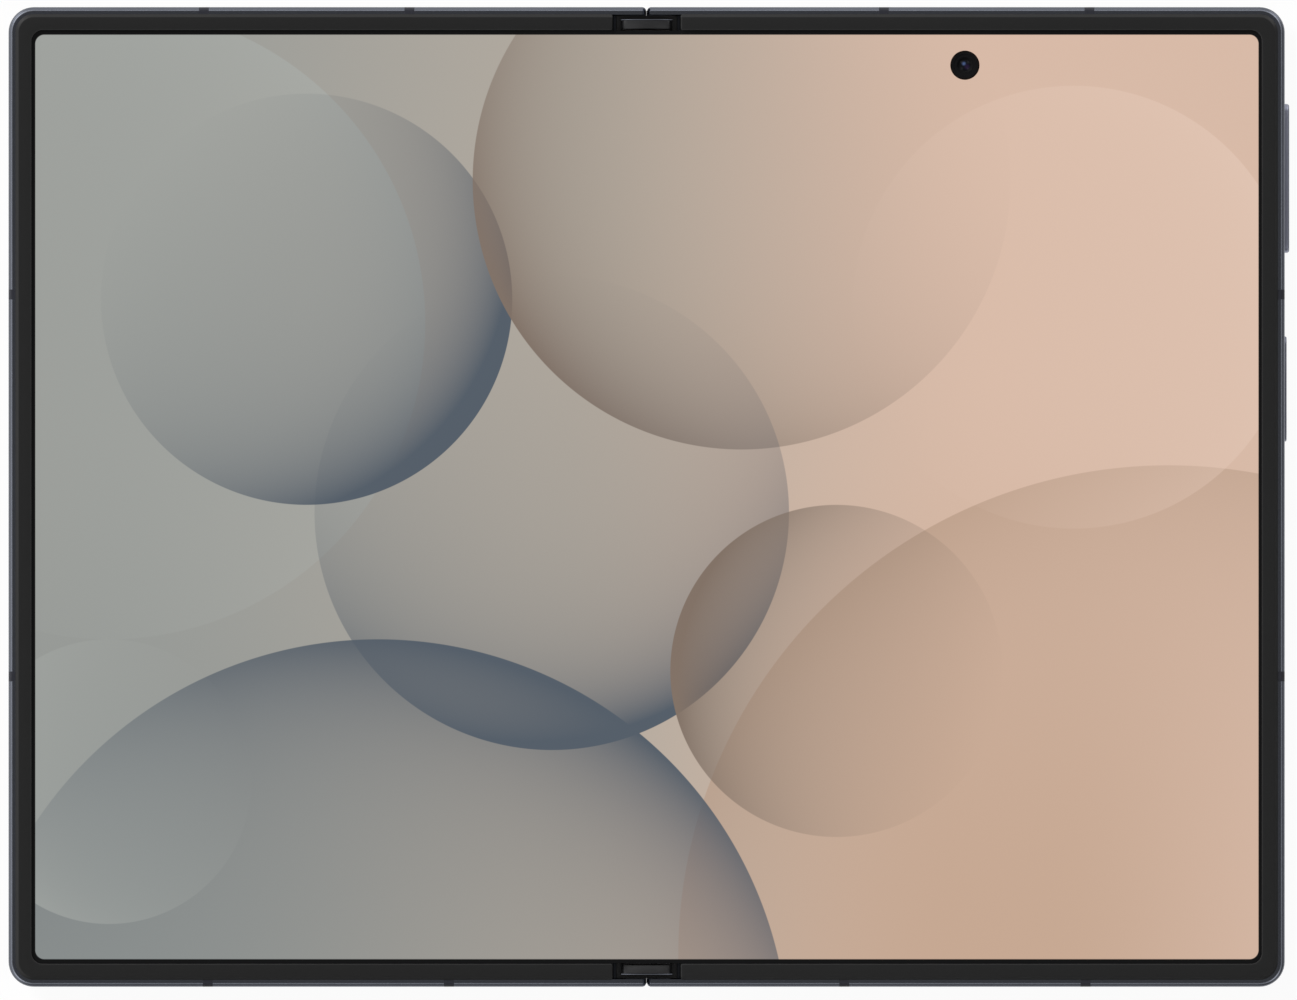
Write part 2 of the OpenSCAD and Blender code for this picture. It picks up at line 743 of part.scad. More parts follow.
module half_frame(rail_at) {
    mid = rail_at + (rail_len + gear_len) / 2;
    difference() {
        union() {
            around_half(tunnel_x + 0.05) rim_section();
            both_ends() along_x(hinge_gap, wall_x)
                translate([half_h, 0]) mirror([1, 0]) end_section();
            along_y(0.05 - half_h + end_wall - 0.1, half_h - end_wall + 0.05) tunnel_section();
            half_plate(plate_x, rim_wall - fit, [plate_under, panel_under]);
            // lugs of the wing plate's pivot
            for (y = lugs)
                block([wing_pivot_x - 0.6, plate_x + 0.5], [y - lug_len / 2, y + lug_len / 2],
                    [wing_pivot_z - wing_rod_r - 0.35, panel_under]);
        }
        // rounded knuckles and upright corners at the hinge line
        along_y(-half_h - 1, half_h + 1) difference() {
            translate([-1, -axis_depth]) square([1 + axis_x, big]);
            at_axis() circle(axis_depth);
        }
        along_y(-half_h - 1, half_h + 1)
            corner_cut(hinge_gap + 0.4, 0.4 - body_t, 0.4, -1, -1);
        both_ends() translate([0, 0, -body_t - 1]) linear_extrude(body_t + 2)
            corner_cut(hinge_gap + notch_r, half_h - notch_r, notch_r, -1, 1);
        // wing plate pivots
        along_y(-half_h + 3, half_h - 3)
            translate([wing_pivot_x, wing_pivot_z]) circle(wing_rod_r + run_gap);
        // passages of the rotators and the ribbon cable
        at_modules()
            block([tunnel_x - 1, wall_x + 1], [mid - tab_len / 2 - 0.2, mid + tab_len / 2 + 0.2],
                [-spine_rim_depth - 0.1, 0]);
        block([tunnel_x - 1, wall_x + 1], [-6, 6], [-spine_rim_depth, 0]);
        // screw holes of the rotators
        at_modules() for (y = tab_screws(rail_at)) disc(tab_screw_x, y, [-3, panel_under - 0.05], screw_r);
    }
}

// Slabs that mark where the antenna breaks cross the rim
module band_slabs() {
    across = [-band_w / 2, band_w / 2];
    for (x = [band_top[0], half_w - band_top[1]])
        block(shifted(across, x), [half_h - band_depth, half_h + 1], [-big, 1]);
    for (x = [band_bottom[0], half_w - band_bottom[1]])
        block(shifted(across, x), [-half_h - 1, band_depth - half_h], [-big, 1]);
    for (inset = band_side)
        block([half_w - band_depth, half_w + 1], shifted(across, half_h - inset), [-big, 1]);
}

module antenna_bands() intersection() {
    around_half(corner_r + 5) rim_section();
    band_slabs();
}

module bezel() {
    around_half(bezel_end) polygon([
        [bezel_foot, rim_top],
        [bezel_flat, 0],
        [bezel_flat + 0.2, 0],
        [bezel_flat + 0.2, rim_top]
    ]);
    translate([0, 0, rim_top]) linear_extrude(bezel_t) difference() {
        half_plan(bezel_end, bezel_flat + 0.1);
        rounded([-big, half_w - bezel_in], [bezel_in - half_h, half_h - bezel_in], opening_r);
    }
}

// Round-ended outline of a key, in y and z
module key_outline(y, len, grow) {
    rounded([y - len / 2 - grow, y + len / 2 + grow],
        [key_z - key_w / 2 - grow, key_z + key_w / 2 + grow], key_w / 2 + grow - 0.01);
}

module slot_outline(x, z, w, h) rounded([x - w / 2, x + w / 2], [z - h / 2, z + h / 2], h / 2 - 0.01);

module sound_holes(x, n)
    along_y(half_h - rim_wall - 0.5, half_h + 1)
        for (i = [0 : n - 1]) translate([x + i * sound_pitch, sound_z]) circle(sound_hole_r);

// Ribs above and below a battery
module battery_ribs(y, z)
    for (rib = [shifted(-[battery_rib[1], battery_rib[0]], y), shifted(battery_rib, y + battery_h)])
        block([battery_x, battery_x + battery_w], rib, [z, plate_under + 0.1]);

module right_frame() color("#3a3f4c") lift() {
    difference() {
        union() {
            half_frame(right_rail);
            // shelf behind the key switches
            block([shelf_x, shelf_x + 0.7],
                [side_key_y - side_key_len / 2, rocker_y + rocker_len / 2], [-4, plate_under + 0.1]);
            // ribs beside the battery
            battery_ribs(battery_y, -3.4);
            // standoffs of the board
            for (p = board_screw_places())
                disc(p[0], p[1], [board_z, plate_under + 0.1], 1.3);
        }
        band_slabs();
        along_x(key_flange_x + key_flange_t, half_w + 1) {
            key_outline(rocker_y, rocker_len, key_gap);
            key_outline(side_key_y, side_key_len, key_gap);
        }
        // USB-C socket
        along_y(-half_h - 1, rim_wall + 0.8 - half_h)
            slot_outline(usb_x, usb_z, usb_w + 0.5, usb_h + 0.5);
        block([usb_x - 4.6, usb_x + 4.6], [rim_wall - half_h, usb_len + 0.8 - half_h],
            [-4.2, panel_under - 0.15]);
        mirror([0, 1, 0]) sound_holes(usb_x + 9.4, 3);
        mirror([0, 1, 0]) sound_holes(usb_x + 17, 4);
        mirror([0, 1, 0]) sound_holes(usb_x - 8, 1);
        sound_holes(camera_x + 6, 1);
        disc(camera_x, half_h - camera_inset, [-2, 0], camera_hole_d / 2 + 0.35);
        for (p = board_screw_places()) disc(p[0], p[1], [-3, panel_under - 0.1], screw_r);
    }
}

module left_frame() color("#3a3f4c") lift() on_left() {
    difference() {
        union() {
            half_frame(left_rail);
            battery_ribs(left_battery_y, -3.2);
            for (p = sub_board_screw_places())
                disc(p[0], p[1], [board_z, plate_under + 0.1], 1.3);
        }
        band_slabs();
        along_y(-half_h - 1, rim_wall + 0.8 - half_h)
            slot_outline(tray_x, tray_z, tray_w + 0.2, tray_h + 0.2);
        sound_holes(earpiece_x[0] + 2, 5);
        mirror([0, 1, 0]) sound_holes(mic_x, 1);
        for (p = sub_board_screw_places()) disc(p[0], p[1], [-3, panel_under - 0.1], screw_r);
    }
}

module right_bezel() color("#27272a") lift() bezel();

module left_bezel() color("#27272a") lift() on_left() bezel();

module right_antenna_bands() color("#33363f") lift() antenna_bands();

module left_antenna_bands() color("#33363f") lift() on_left() antenna_bands();

// ---------------------------------------------------------------- displays

module display_right() color("#d6c2ae") lift() difference() {
    half_plate(flex_half + fit, panel_inset, [panel_under, panel_top]);
    disc(camera_x, half_h - camera_inset, [-2, 0], camera_hole_d / 2);
}

module display_left() color("#9aa09c") lift() on_left()
    half_plate(flex_half + fit, panel_inset, [panel_under, panel_top]);

module wing_plate() {
    difference() {
        along_y(-wing_half, wing_half)
            translate([wing_in, wing_top - wing_t]) square([wing_pivot_x + wing_rod_r - wing_in, wing_t]);
        for (y = lugs)
            block([wing_pivot_x - 0.8, big], [y - lug_len / 2 - 0.1, y + lug_len / 2 + 0.1], [-2, 0]);
        // rows of relief slots near the bend
        for (x = [wing_in + 0.9, wing_in + 1.9], i = [-wing_slots : wing_slots])
            rounded_block([x, x + 0.3], shifted([-1.8, 1.8], i * wing_slot_pitch), [-2, 0], 0.14);
    }
    along_y(0.3 - wing_half, wing_half - 0.3)
        translate([wing_pivot_x, wing_pivot_z]) circle(wing_rod_r);
}

module wing_plate_right() color("#b0b3b8") lift() wing_plate();

module wing_plate_left() color("#b0b3b8") lift() on_left() wing_plate();

// ---------------------------------------------------------------- backs

module island_outline(grow) {
    r = island_r + grow;
    for (y = [lens_ys[0], lens_ys[2]]) translate([island_x, y]) circle(r);
    translate([island_x - r, lens_ys[2]]) square([2 * r, lens_ys[0] - lens_ys[2]]);
}

module right_back_glass() color("#2b2f3a") lift() difference() {
    half_plate(rail_w, glass_inset + fit, [-body_t, glass_top]);
    translate([0, 0, -big / 2]) linear_extrude(big) island_outline(fit);
    disc(flash_x, flash_y, [-big, 0], flash_r + fit);
}

module cover_glass() color("#101114") lift() on_left()
    half_plate(rail_w, glass_inset + fit, [-body_t, glass_top]);

module camera_island() color("#2f333e") lift() difference() {
    translate([island_x, lens_ys[1], 0]) round_bar(lens_ys[0] - lens_ys[2]) difference() {
        translate([0, -body_t - island_h]) square([island_r, island_h + glass_t]);
        corner_cut(island_r - island_edge_r, island_edge_r - body_t - island_h, island_edge_r, 1, -1);
    }
    for (y = lens_ys) disc(island_x, y, [-big, 0], window_r);
}

module camera_lens_rings() color("#4a4e58") lift() for (y = lens_ys) difference() {
    disc(island_x, y, [-body_t - island_out, -body_t - island_h], ring_r);
    disc(island_x, y, [-big, 0], window_r);
    translate([island_x, y, -body_t - island_out - 0.01])
        cylinder(r1 = window_r + 0.35, r2 = window_r - 0.05, h = 0.4);
}

module camera_lens_glass() color("#0b0c10") lift() for (y = lens_ys)
    disc(island_x, y, [-body_t - island_out + 0.35, -body_t - island_out + 0.85], window_r - fit);

module rear_camera_modules() color("#1a1a1c") lift() for (y = lens_ys) {
    difference() {
        disc(island_x, y, [-body_t - island_out + 0.9, -3], 4.1);
        disc(island_x, y, [-big, -body_t - island_out + 1.5], 2.6);
    }
    translate([island_x, y, -body_t - island_out + 1.5 - 0.5])
        intersection() {
            translate([0, 0, 3.4]) sphere(3.4);
            translate([-3, -3, 0]) cube([6, 6, 0.8]);
        }
    rounded_block([island_x - camera_base / 2, island_x + camera_base / 2],
        [y - camera_base / 2, y + camera_base / 2], [-3.1, plate_under - fit], 0.6);
}

module flash_led() color("#e8dfae") lift()
    disc(flash_x, flash_y, [-body_t, glass_top + 0.4], flash_r);

// ---------------------------------------------------------------- inner parts

function board_screw_places() =
    [for (x = [board_x[0] + 2, board_x[1] - 2], y = [board_y[0] + 2, board_y[1] - 3]) [x, y]];

function sub_board_screw_places() =
    [for (x = [sub_board_x[0] + 3, sub_board_x[1] - 4]) [x, 5 - half_h]];

module inner_camera() color("#141416") lift() translate([camera_x, half_h - camera_inset, 0]) {
    disc(0, 0, [plate_under - 0.3, panel_top - 0.15], camera_hole_d / 2 - 0.1);
    rounded_block([-3, 3], [-3, 3], [-3.6, plate_under - 0.1], 0.4);
}

module main_board() color("#2c5b41") lift() difference() {
    rounded_block(board_x, board_y, [board_z - board_t, board_z], 1.2);
    rounded_block([camera_x - 3.2, camera_x + 3.2],
        [half_h - camera_inset - 3.2, half_h - 1], [-4, 0], 0.4);
    for (p = board_screw_places()) disc(p[0], p[1], [-4, 0], screw_r + fit);
}

module board_shields() color("#b4b7bb") lift() {
    w = board_x[1] - board_x[0];
    h = board_y[1] - board_y[0];
    for (s = shields)
        rounded_block(shifted(w * [s[0], s[2]], board_x[0]), shifted(h * [s[1], s[3]], board_y[0]),
            [board_z - board_t - 1.05, board_z - board_t], 0.5);
}

// Foil pouch with the cable tab at its top end
module battery(y, z) {
    rounded_block([battery_x, battery_x + battery_w], [y, y + battery_h], z, 1);
    block([battery_x + 3, battery_x + 9], [y + battery_h - 0.2, y + battery_h + 0.45],
        [z[1] - 0.7, z[1] - 0.4]);
}

module battery_right() color("#3b3d42") lift()
    battery(battery_y, [-body_t + 1.0, plate_under - fit]);

module charging_coil() color("#a8683c") lift() difference() {
    disc(battery_x + battery_w / 2, battery_y + battery_h / 2,
        [-body_t + 0.7, -body_t + 0.9], coil_r);
    disc(battery_x + battery_w / 2, battery_y + battery_h / 2, [-big, 0], coil_r - 10);
}

module usb_port() color("#9a9c9f") lift() {
    y0 = 0.35 - half_h;
    y1 = y0 + usb_len;
    difference() {
        along_y(y0, y1) slot_outline(usb_x, usb_z, usb_w + 2 * usb_wall, usb_h + 2 * usb_wall);
        along_y(y0 - 1, y1 - 1) slot_outline(usb_x, usb_z, usb_w, usb_h);
    }
    along_y(y0 + 0.8, y1 - 0.5)
        translate([usb_x - 3.35, usb_z - 0.35]) square([6.7, 0.7]);
}

module loudspeaker() color("#1d1d20") lift() {
    rounded_block(speaker_x, [2.2 - half_h, bottom_bay - 2 - half_h],
        [-4.1, plate_under - fit], 0.8);
    rounded_block(speaker_x + [4, -4], [4.5 - half_h, bottom_bay - 4 - half_h], [-4.25, -4], 2);
}

module vibration_motor() color("#8d9094") lift()
    rounded_block(shifted([0, motor_len], plate_x + 6), shifted([0, motor_w], 5 - half_h),
        [-3.6, plate_under - fit], 0.7);

module key_switches() color("#c8b48a") lift() {
    block([switch_x - flex_t, switch_x],
        [side_key_y - side_key_len / 2, rocker_y + rocker_len / 2], [-3.8, -1.6]);
    for (y = [side_key_y, rocker_y - 6.2, rocker_y + 6.2])
        block([switch_x - 0.01, switch_x + switch_t], [y - 1.6, y + 1.6], [key_z - 0.8, key_z + 0.8]);
}

module board_screws(places) for (p = places)
    translate([p[0], p[1], board_z - board_t]) mirror([0, 0, 1])
        screw(0, 0, 0, board_t + plate_under - board_z + 0.3, 0.9, screw_r - 0.01);

module board_screws_right() color("#b9bbc0") lift() board_screws(board_screw_places());

module board_screws_left() color("#b9bbc0") lift() on_left() board_screws(sub_board_screw_places());

module magnets() for (y = magnet_ys)
    block([half_w - rim_wall - magnet_t, half_w - rim_wall - fit],
        shifted([y, y + magnet_len], -half_h), [-3.4, plate_under - fit]);

module closing_magnets_right() color("#77797d") lift() magnets();

module closing_magnets_left() color("#77797d") lift() on_left() magnets();

module key(y, len, out) {
    translate([0, y, key_z]) rotate([0, 90, 0]) round_bar(len - key_w) difference() {
        translate([0, key_flange_x]) square([key_w / 2, half_w + out - key_flange_x]);
        corner_cut(key_w / 2 - key_edge_r, half_w + out - key_edge_r, key_edge_r, 1, 1);
    }
    along_x(key_flange_x, key_flange_x + key_flange_t)
        rounded([y - len / 2 - 0.4, y + len / 2 + 0.4],
            [key_z - key_w / 2 - 0.1, key_z + key_w / 2 + 0.1], 0.4);
}

module volume_rocker() color("#3a3f4c") lift() key(rocker_y, rocker_len, rocker_out);

module side_key() color("#30333c") lift() key(side_key_y, side_key_len, side_key_out);

module cover_display_panel() color("#0c0d10") lift() on_left() difference() {
    half_plate(wall_x + 1, ledge_w + 0.2, [glass_top + fit, glass_top + 0.6]);
    disc(cover_camera_x, cover_camera_y, [-big, 0], 2);
}

module cover_camera() color("#141416") lift() on_left()
    translate([cover_camera_x, cover_camera_y, 0]) {
        disc(0, 0, [glass_top + fit, -3.4], 1.85);
        rounded_block([-3, 3], [-3, 3], [-3.5, plate_under - fit], 0.4);
    }

module battery_left() color("#3b3d42") lift() on_left()
    battery(left_battery_y, [glass_top + 0.75, plate_under - fit]);

module sub_board() color("#2c5b41") lift() on_left() difference() {
    rounded_block(sub_board_x, [2 - half_h, left_battery_y - battery_rib[1] - 0.4],
        [board_z - board_t, board_z], 1);
    for (p = sub_board_screw_places()) disc(p[0], p[1], [-4, 0], screw_r + fit);
    block([tray_x - 8, tray_x + 8], [1 - half_h, 16.2 - half_h], [-4, 0]);
}

module earpiece_speaker() color("#1d1d20") lift() on_left()
    rounded_block(earpiece_x, [half_h - 9, half_h - 2.2],
        [glass_top + 0.75, plate_under - fit], 0.6);

module sim_reader() color("#b4b7bb") lift() on_left() difference() {
    block([tray_x - 7.6, tray_x + 7.6], [2.6 - half_h, 16 - half_h], [tray_z - 0.75, tray_z + 0.75]);
    block([tray_x - 7.1, tray_x + 7.1], [-half_h, 15.8 - half_h], [tray_z - 0.55, tray_z + 0.55]);
}

module sim_tray() color("#3a3f4c") lift() on_left() difference() {
    union() {
        along_y(-half_h, rim_wall - half_h) slot_outline(tray_x, tray_z, tray_w, tray_h);
        block([tray_x - 6.8, tray_x + 6.8], [rim_wall - 0.1 - half_h, tray_len - half_h],
            [tray_z - 0.4, tray_z + 0.4]);
    }
    block([tray_x - 4.4, tray_x + 4.4], [2.2 - half_h, 14.5 - half_h], [tray_z - 1, tray_z + 1]);
    along_y(-half_h - 1, rim_wall + 1 - half_h) translate([tray_x + 5.6, tray_z]) circle(0.35);
}

spine_cover();
spine_end_caps();
hinge_brackets();
bracket_screws();
display_support_bar();
display_fold();
hinge_flex_cable();
pinion_right();
pinion_left();
friction_washers_right();
friction_washers_left();
idler_gear_right();
idler_gear_left();
right_frame();
right_bezel();
right_antenna_bands();
display_right();
rotator_right();
rotator_screws_right();
right_back_glass();
camera_island();
camera_lens_rings();
camera_lens_glass();
rear_camera_modules();
flash_led();
inner_camera();
main_board();
board_shields();
battery_right();
charging_coil();
usb_port();
loudspeaker();
vibration_motor();
key_switches();
board_screws_right();
closing_magnets_right();
volume_rocker();
side_key();
wing_plate_right();
left_frame();
left_bezel();
left_antenna_bands();
display_left();
rotator_left();
rotator_screws_left();
cover_glass();
cover_display_panel();
cover_camera();
battery_left();
sub_board();
board_screws_left();
earpiece_speaker();
sim_reader();
sim_tray();
closing_magnets_left();
wing_plate_left();
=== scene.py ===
import json
import math

import bmesh
import bpy
from bpy.props import FloatProperty, FloatVectorProperty, IntProperty, PointerProperty
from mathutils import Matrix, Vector


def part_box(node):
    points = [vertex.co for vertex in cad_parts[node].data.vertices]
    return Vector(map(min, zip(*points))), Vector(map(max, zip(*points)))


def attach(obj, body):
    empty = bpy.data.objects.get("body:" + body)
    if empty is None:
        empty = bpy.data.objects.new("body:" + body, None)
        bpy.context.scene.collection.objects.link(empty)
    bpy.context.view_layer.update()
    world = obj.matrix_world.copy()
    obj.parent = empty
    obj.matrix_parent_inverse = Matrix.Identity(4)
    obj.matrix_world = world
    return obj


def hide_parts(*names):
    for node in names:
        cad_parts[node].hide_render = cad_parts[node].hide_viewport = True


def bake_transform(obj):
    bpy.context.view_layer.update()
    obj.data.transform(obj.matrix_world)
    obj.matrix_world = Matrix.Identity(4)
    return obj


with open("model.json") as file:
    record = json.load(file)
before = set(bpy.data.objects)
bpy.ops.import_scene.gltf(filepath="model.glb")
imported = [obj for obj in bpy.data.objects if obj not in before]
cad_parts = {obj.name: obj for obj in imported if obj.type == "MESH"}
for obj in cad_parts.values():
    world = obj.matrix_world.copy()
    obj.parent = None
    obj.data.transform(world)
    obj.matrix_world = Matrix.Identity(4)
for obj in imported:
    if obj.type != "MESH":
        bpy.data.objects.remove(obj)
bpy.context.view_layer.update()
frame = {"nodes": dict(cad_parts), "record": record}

bl_info = {
    "name": "Folding phone",
    "version": (1, 0, 0),
    "blender": (4, 5, 0),
    "location": "View3D > Sidebar > Phone",
    "description": "Finishes, screens and small parts of a folding phone, on its packed frame",
    "category": "Object",
}

MM = 0.001
HALF_W, HALF_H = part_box("right_frame")[1][:2]
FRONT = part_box("right_bezel")[1][2]
PANEL = [corner[2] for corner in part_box("display_right")]
HALVES = {"right": 1, "left": -1}
SHARP = math.radians(32)  # faces that meet at more than this show an edge


# ------------------------------------------------------------------ settings


def length(name, text, value, low=0.0, high=0.5):
    return FloatProperty(
        name=name, description=text, default=value, min=low, max=high, unit="LENGTH", precision=5
    )


def rgb(red, green, blue):
    """A colour as it looks on a screen, from levels of 0 to 255."""
    return red / 255, green / 255, blue / 255


def colour(name, text, *levels):
    return FloatVectorProperty(
        name=name, description=text, default=rgb(*levels), min=0, max=1, size=3,
        subtype="COLOR_GAMMA",
    )


def amount(name, text, value):
    return IntProperty(name=name, description=text, default=value, min=2)


class BodySettings(bpy.types.PropertyGroup):
    metal: colour("Frame", "Anodised metal of the frames and the spine", 100, 103, 111)
    # The keys' colour is paler than the frame's: painted light, for the light that their rounded
    # faces catch
    key_metal: colour("Keys", "Anodised metal of the keys", 148, 151, 166)
    # The frame's bright line is a painted highlight
    edge: length("Painted highlight line", "From the outer edge to the frame's bright line", 0.42 * MM)
    band: colour("Antenna breaks", "Plastic in the frame's breaks", 34, 35, 42)
    bezel_tone: colour("Bezel", "Plastic surround of the inner screen", 23, 23, 23)
    cap: colour("Spine caps", "Plastic plugs in the ends of the spine", 34, 34, 35)
    back: colour("Back glass", "Frosted glass on the back", 44, 47, 58)
    bezel_foot: length("Bezel foot", "From the outer edge to the bezel's slope", 0.885 * MM)
    bezel_flat: length("Bezel flat", "From the outer edge to the bezel's flat", 1.27 * MM)
    bezel_in: length("Bezel opening", "From the outer edge to the bezel's opening", 2.91 * MM)
    bezel_end: length("Bezel end", "From the hinge line to the bezel's end", 4.29 * MM)
    cap_half: length("Spine cap", "Half the width of a spine cap's face", 3.2 * MM)
    corner_r: length("Corner", "Corner radius of the body", 3.2 * MM)
    opening_r: length("Opening corner", "Corner radius of the bezel's opening", 1.4 * MM)


class ScreenSettings(bpy.types.PropertyGroup):
    side: length("Black border, sides", "From the outer edge to the lit area", 3.36 * MM)
    shift: length("Lit area shift", "How far right of the middle the lit area is", 0.03 * MM)
    ends: length("Black border, ends", "From top and bottom to the lit area", 3.5 * MM)
    lit_r: length("Lit corner", "Corner radius of the lit area", 1.15 * MM)
    bend: length("Bend", "From the hinge line to where the screen stays flat", 3.5 * MM)
    brightness: FloatProperty(
        name="Brightness", description="Light of the lit area", default=1.0, min=0, max=4
    )
    sage: colour("Sage", "Left side of the picture", 153, 155, 151)
    sand: colour("Sand", "Middle of the picture", 180, 170, 158)
    peach: colour("Peach", "Right side of the picture", 215, 185, 166)
    bronze: colour("Bronze", "Lower right of the picture", 196, 165, 142)
    slate: colour("Slate", "Dark edges of the discs", 82, 92, 103)
    umber: colour("Umber", "Warm edges of the discs", 128, 112, 100)


class CameraSettings(bpy.types.PropertyGroup):
    hole_r: length("Screen hole", "Radius of the inner camera's hole", 1.85 * MM)
    rear_count: amount("Rear cameras", "How many cameras the island holds", 3)


class InnerSettings(bpy.types.PropertyGroup):
    turns: amount("Coil turns", "Turns of the charging coil", 11)
    contacts: amount("Contacts", "Contacts on each side of the socket's tongue", 12)
    copper: colour("Copper", "Enamelled wire of the charging coil", 176, 104, 60)
    mask: colour("Board", "Solder mask of the circuit boards", 28, 66, 46)
    film: colour("Film", "Polyimide film of the ribbon cables", 148, 88, 34)


class StageSettings(bpy.types.PropertyGroup):
    lens: FloatProperty(
        name="Lens", description="Focal length in mm", default=1200, min=20, max=2000
    )
    frame_w: length("Frame width", "Width that the camera sees", 164.006 * MM)
    shift_x: length("Aim x", "Middle of the view, from the hinge line", 0.234 * MM, -0.1)
    shift_y: length("Aim y", "Middle of the view, along the hinge line", -0.386 * MM, -0.1)
    floor: length("Floor", "Width of the floor", 3.0, 0.3, 10.0)
    key: FloatProperty(name="Key light", description="Power in watts", default=24.0, min=0)
    fill: FloatProperty(name="Fill light", description="Power in watts", default=5.0, min=0)


SETTINGS = {
    "phone_body": BodySettings,
    "phone_screen": ScreenSettings,
    "phone_cameras": CameraSettings,
    "phone_inner": InnerSettings,
    "phone_stage": StageSettings,
}


def settings(name):
    return getattr(bpy.context.scene, "phone_" + name)


def middle_of(node, height=None):
    """The middle of a node's box, or the point above or below it at a height."""
    x, y, z = [(a + b) / 2 for a, b in zip(*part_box(node))]
    return x, y, z if height is None else height


def quarter(steps):
    """Angles from 0 to a quarter turn, in equal steps."""
    return [math.pi / 2 * k / steps for k in range(steps + 1)]


def linear(shown):
    """A colour as light adds up, with its alpha, from the one shown on a screen."""
    return tuple(
        v / 12.92 if v <= 0.04045 else ((v + 0.055) / 1.055) ** 2.4 for v in shown
    ) + (1.0,)


def tint(*levels):
    return linear(rgb(*levels))


def scaled(base, level, lift=0.0):
    """A linear colour at another level, lifted by a constant."""
    return tuple(min(1.0, v * level + lift) for v in base[:3]) + (1.0,)


# ------------------------------------------------------------------ node graphs


def maths(operation, swapped=False):
    """A method of Field that adds the maths node of one operation."""

    def method(field, *others):
        values = (field,) + others
        if swapped:
            values = values[::-1]
        flat = all(v.socket.type not in ("VECTOR", "RGBA") for v in values if isinstance(v, Field))
        kind = "ShaderNodeMath" if flat else "ShaderNodeVectorMath"
        return field.graph.node(kind, values, operation=operation)

    return method


class Field:
    """A socket in a node graph. Python's operators on it add the matching nodes."""

    def __init__(self, graph, socket):
        self.graph = graph
        self.socket = socket

    __add__ = __radd__ = maths("ADD")
    __mul__ = __rmul__ = maths("MULTIPLY")
    __sub__ = maths("SUBTRACT")
    __rsub__ = maths("SUBTRACT", swapped=True)
    __truediv__ = maths("DIVIDE")
    __abs__ = maths("ABSOLUTE")
    least = maths("MINIMUM")
    most = maths("MAXIMUM")
    sine = maths("SINE")
    fraction = maths("FRACT")
    exponential = maths("EXPONENT")

    def __neg__(self):
        return self * -1.0

    def length(self):
        return self.graph.node("ShaderNodeVectorMath", (self,), 1, operation="LENGTH")

    def dot(self, other):
        return self.graph.node("ShaderNodeVectorMath", (self, other), 1, operation="DOT_PRODUCT")

    def part(self, axis):
        return self.graph.node("ShaderNodeSeparateXYZ", (self,), "XYZ".index(axis))

    def step(self, start, end, low=0.0, high=1.0):
        """Goes smoothly from low to high as this value goes from start to end."""
        if start > end:
            start, end, low, high = end, start, high, low
        values = {"Value": self, "From Min": start, "From Max": end, "To Min": low, "To Max": high}
        return self.graph.node("ShaderNodeMapRange", values, interpolation_type="SMOOTHSTEP")


class Graph:
    """The nodes of one material or of one geometry tree."""

    def __init__(self, tree):
        self.tree = tree

    def node(self, kind, values=(), out=0, stops=None, **options):
        """Adds a node. Its options are set first, then the values or links of its sockets."""
        node = self.tree.nodes.new(kind)
        for option, value in options.items():
            setattr(node, option, value)
        if stops:
            ramp = node.color_ramp
            while len(ramp.elements) < len(stops):
                ramp.elements.new(0.5)
            for element, (place, shade) in zip(ramp.elements, stops):
                element.position, element.color = place, shade
        pairs = values.items() if isinstance(values, dict) else enumerate(values)
        for key, value in pairs:
            if isinstance(value, Field):
                self.tree.links.new(value.socket, node.inputs[key])
            else:
                node.inputs[key].default_value = value
        return Field(self, node.outputs[out]) if len(node.outputs) else None

    def mix(self, factor, one, other):
        return self.node("ShaderNodeMix", {0: factor, 6: one, 7: other}, 2, data_type="RGBA")

    def noise(self, place, scale, detail=3.0, roughness=0.5):
        values = {"Vector": place, "Scale": scale, "Detail": detail, "Roughness": roughness}
        return self.node("ShaderNodeTexNoise", values)

    def any_ray(self, *kinds):
        """1 for a light path that is one of these kinds of ray, and 0 for the others."""
        rays = [self.node("ShaderNodeLightPath", (), "Is %s Ray" % kind) for kind in kinds]
        found = rays[0]
        for ray in rays[1:]:
            found = found.most(ray)
        return found

    def spots(self, place, scale):
        """Distance to the nearest of many scattered points."""
        return self.node("ShaderNodeTexVoronoi", {"Vector": place, "Scale": scale}, "Distance")

    def bump(self, height, depth):
        return self.node("ShaderNodeBump", {"Height": height, "Distance": depth})


class Finish(Graph):
    """One material. Its place is the piece's own coordinates, in millimetres."""

    made = {}

    def __init__(self, name):
        self.material = bpy.data.materials.new(name)
        self.material.use_nodes = True
        super().__init__(self.material.node_tree)
        self.tree.nodes.clear()
        Finish.made[name] = self.material

    def place(self, stretch=(1, 1, 1)):
        spot = self.node("ShaderNodeTexCoord", (), "Object")
        scale = tuple(v / MM for v in stretch)
        return self.node("ShaderNodeMapping", {"Vector": spot, "Scale": scale})

    def surface(self, **values):
        """The Principled shader, with its sockets given as words_joined_so."""
        named = {
            key.replace("_", " ").title().replace("Ior", "IOR"): value
            for key, value in values.items()
        }
        shader = self.node("ShaderNodeBsdfPrincipled", named)
        self.node("ShaderNodeOutputMaterial", {"Surface": shader})
        return self.material


def finish(name):
    return Finish.made[name]


# ------------------------------------------------------------------ finishes


# The hole at each end of the hinge, where shade is painted, in mm: how far inside the body's
# outline it starts and ends, half its width, half the width of the corners beside the hinge line,
# where light is painted, and the height above which both are painted
RECESS_IN, RECESS_OUT, RECESS_HALF, CORNER_HALF, RECESS_FOOT = 1.0, 3.4, 5.0, 0.46, 3.9


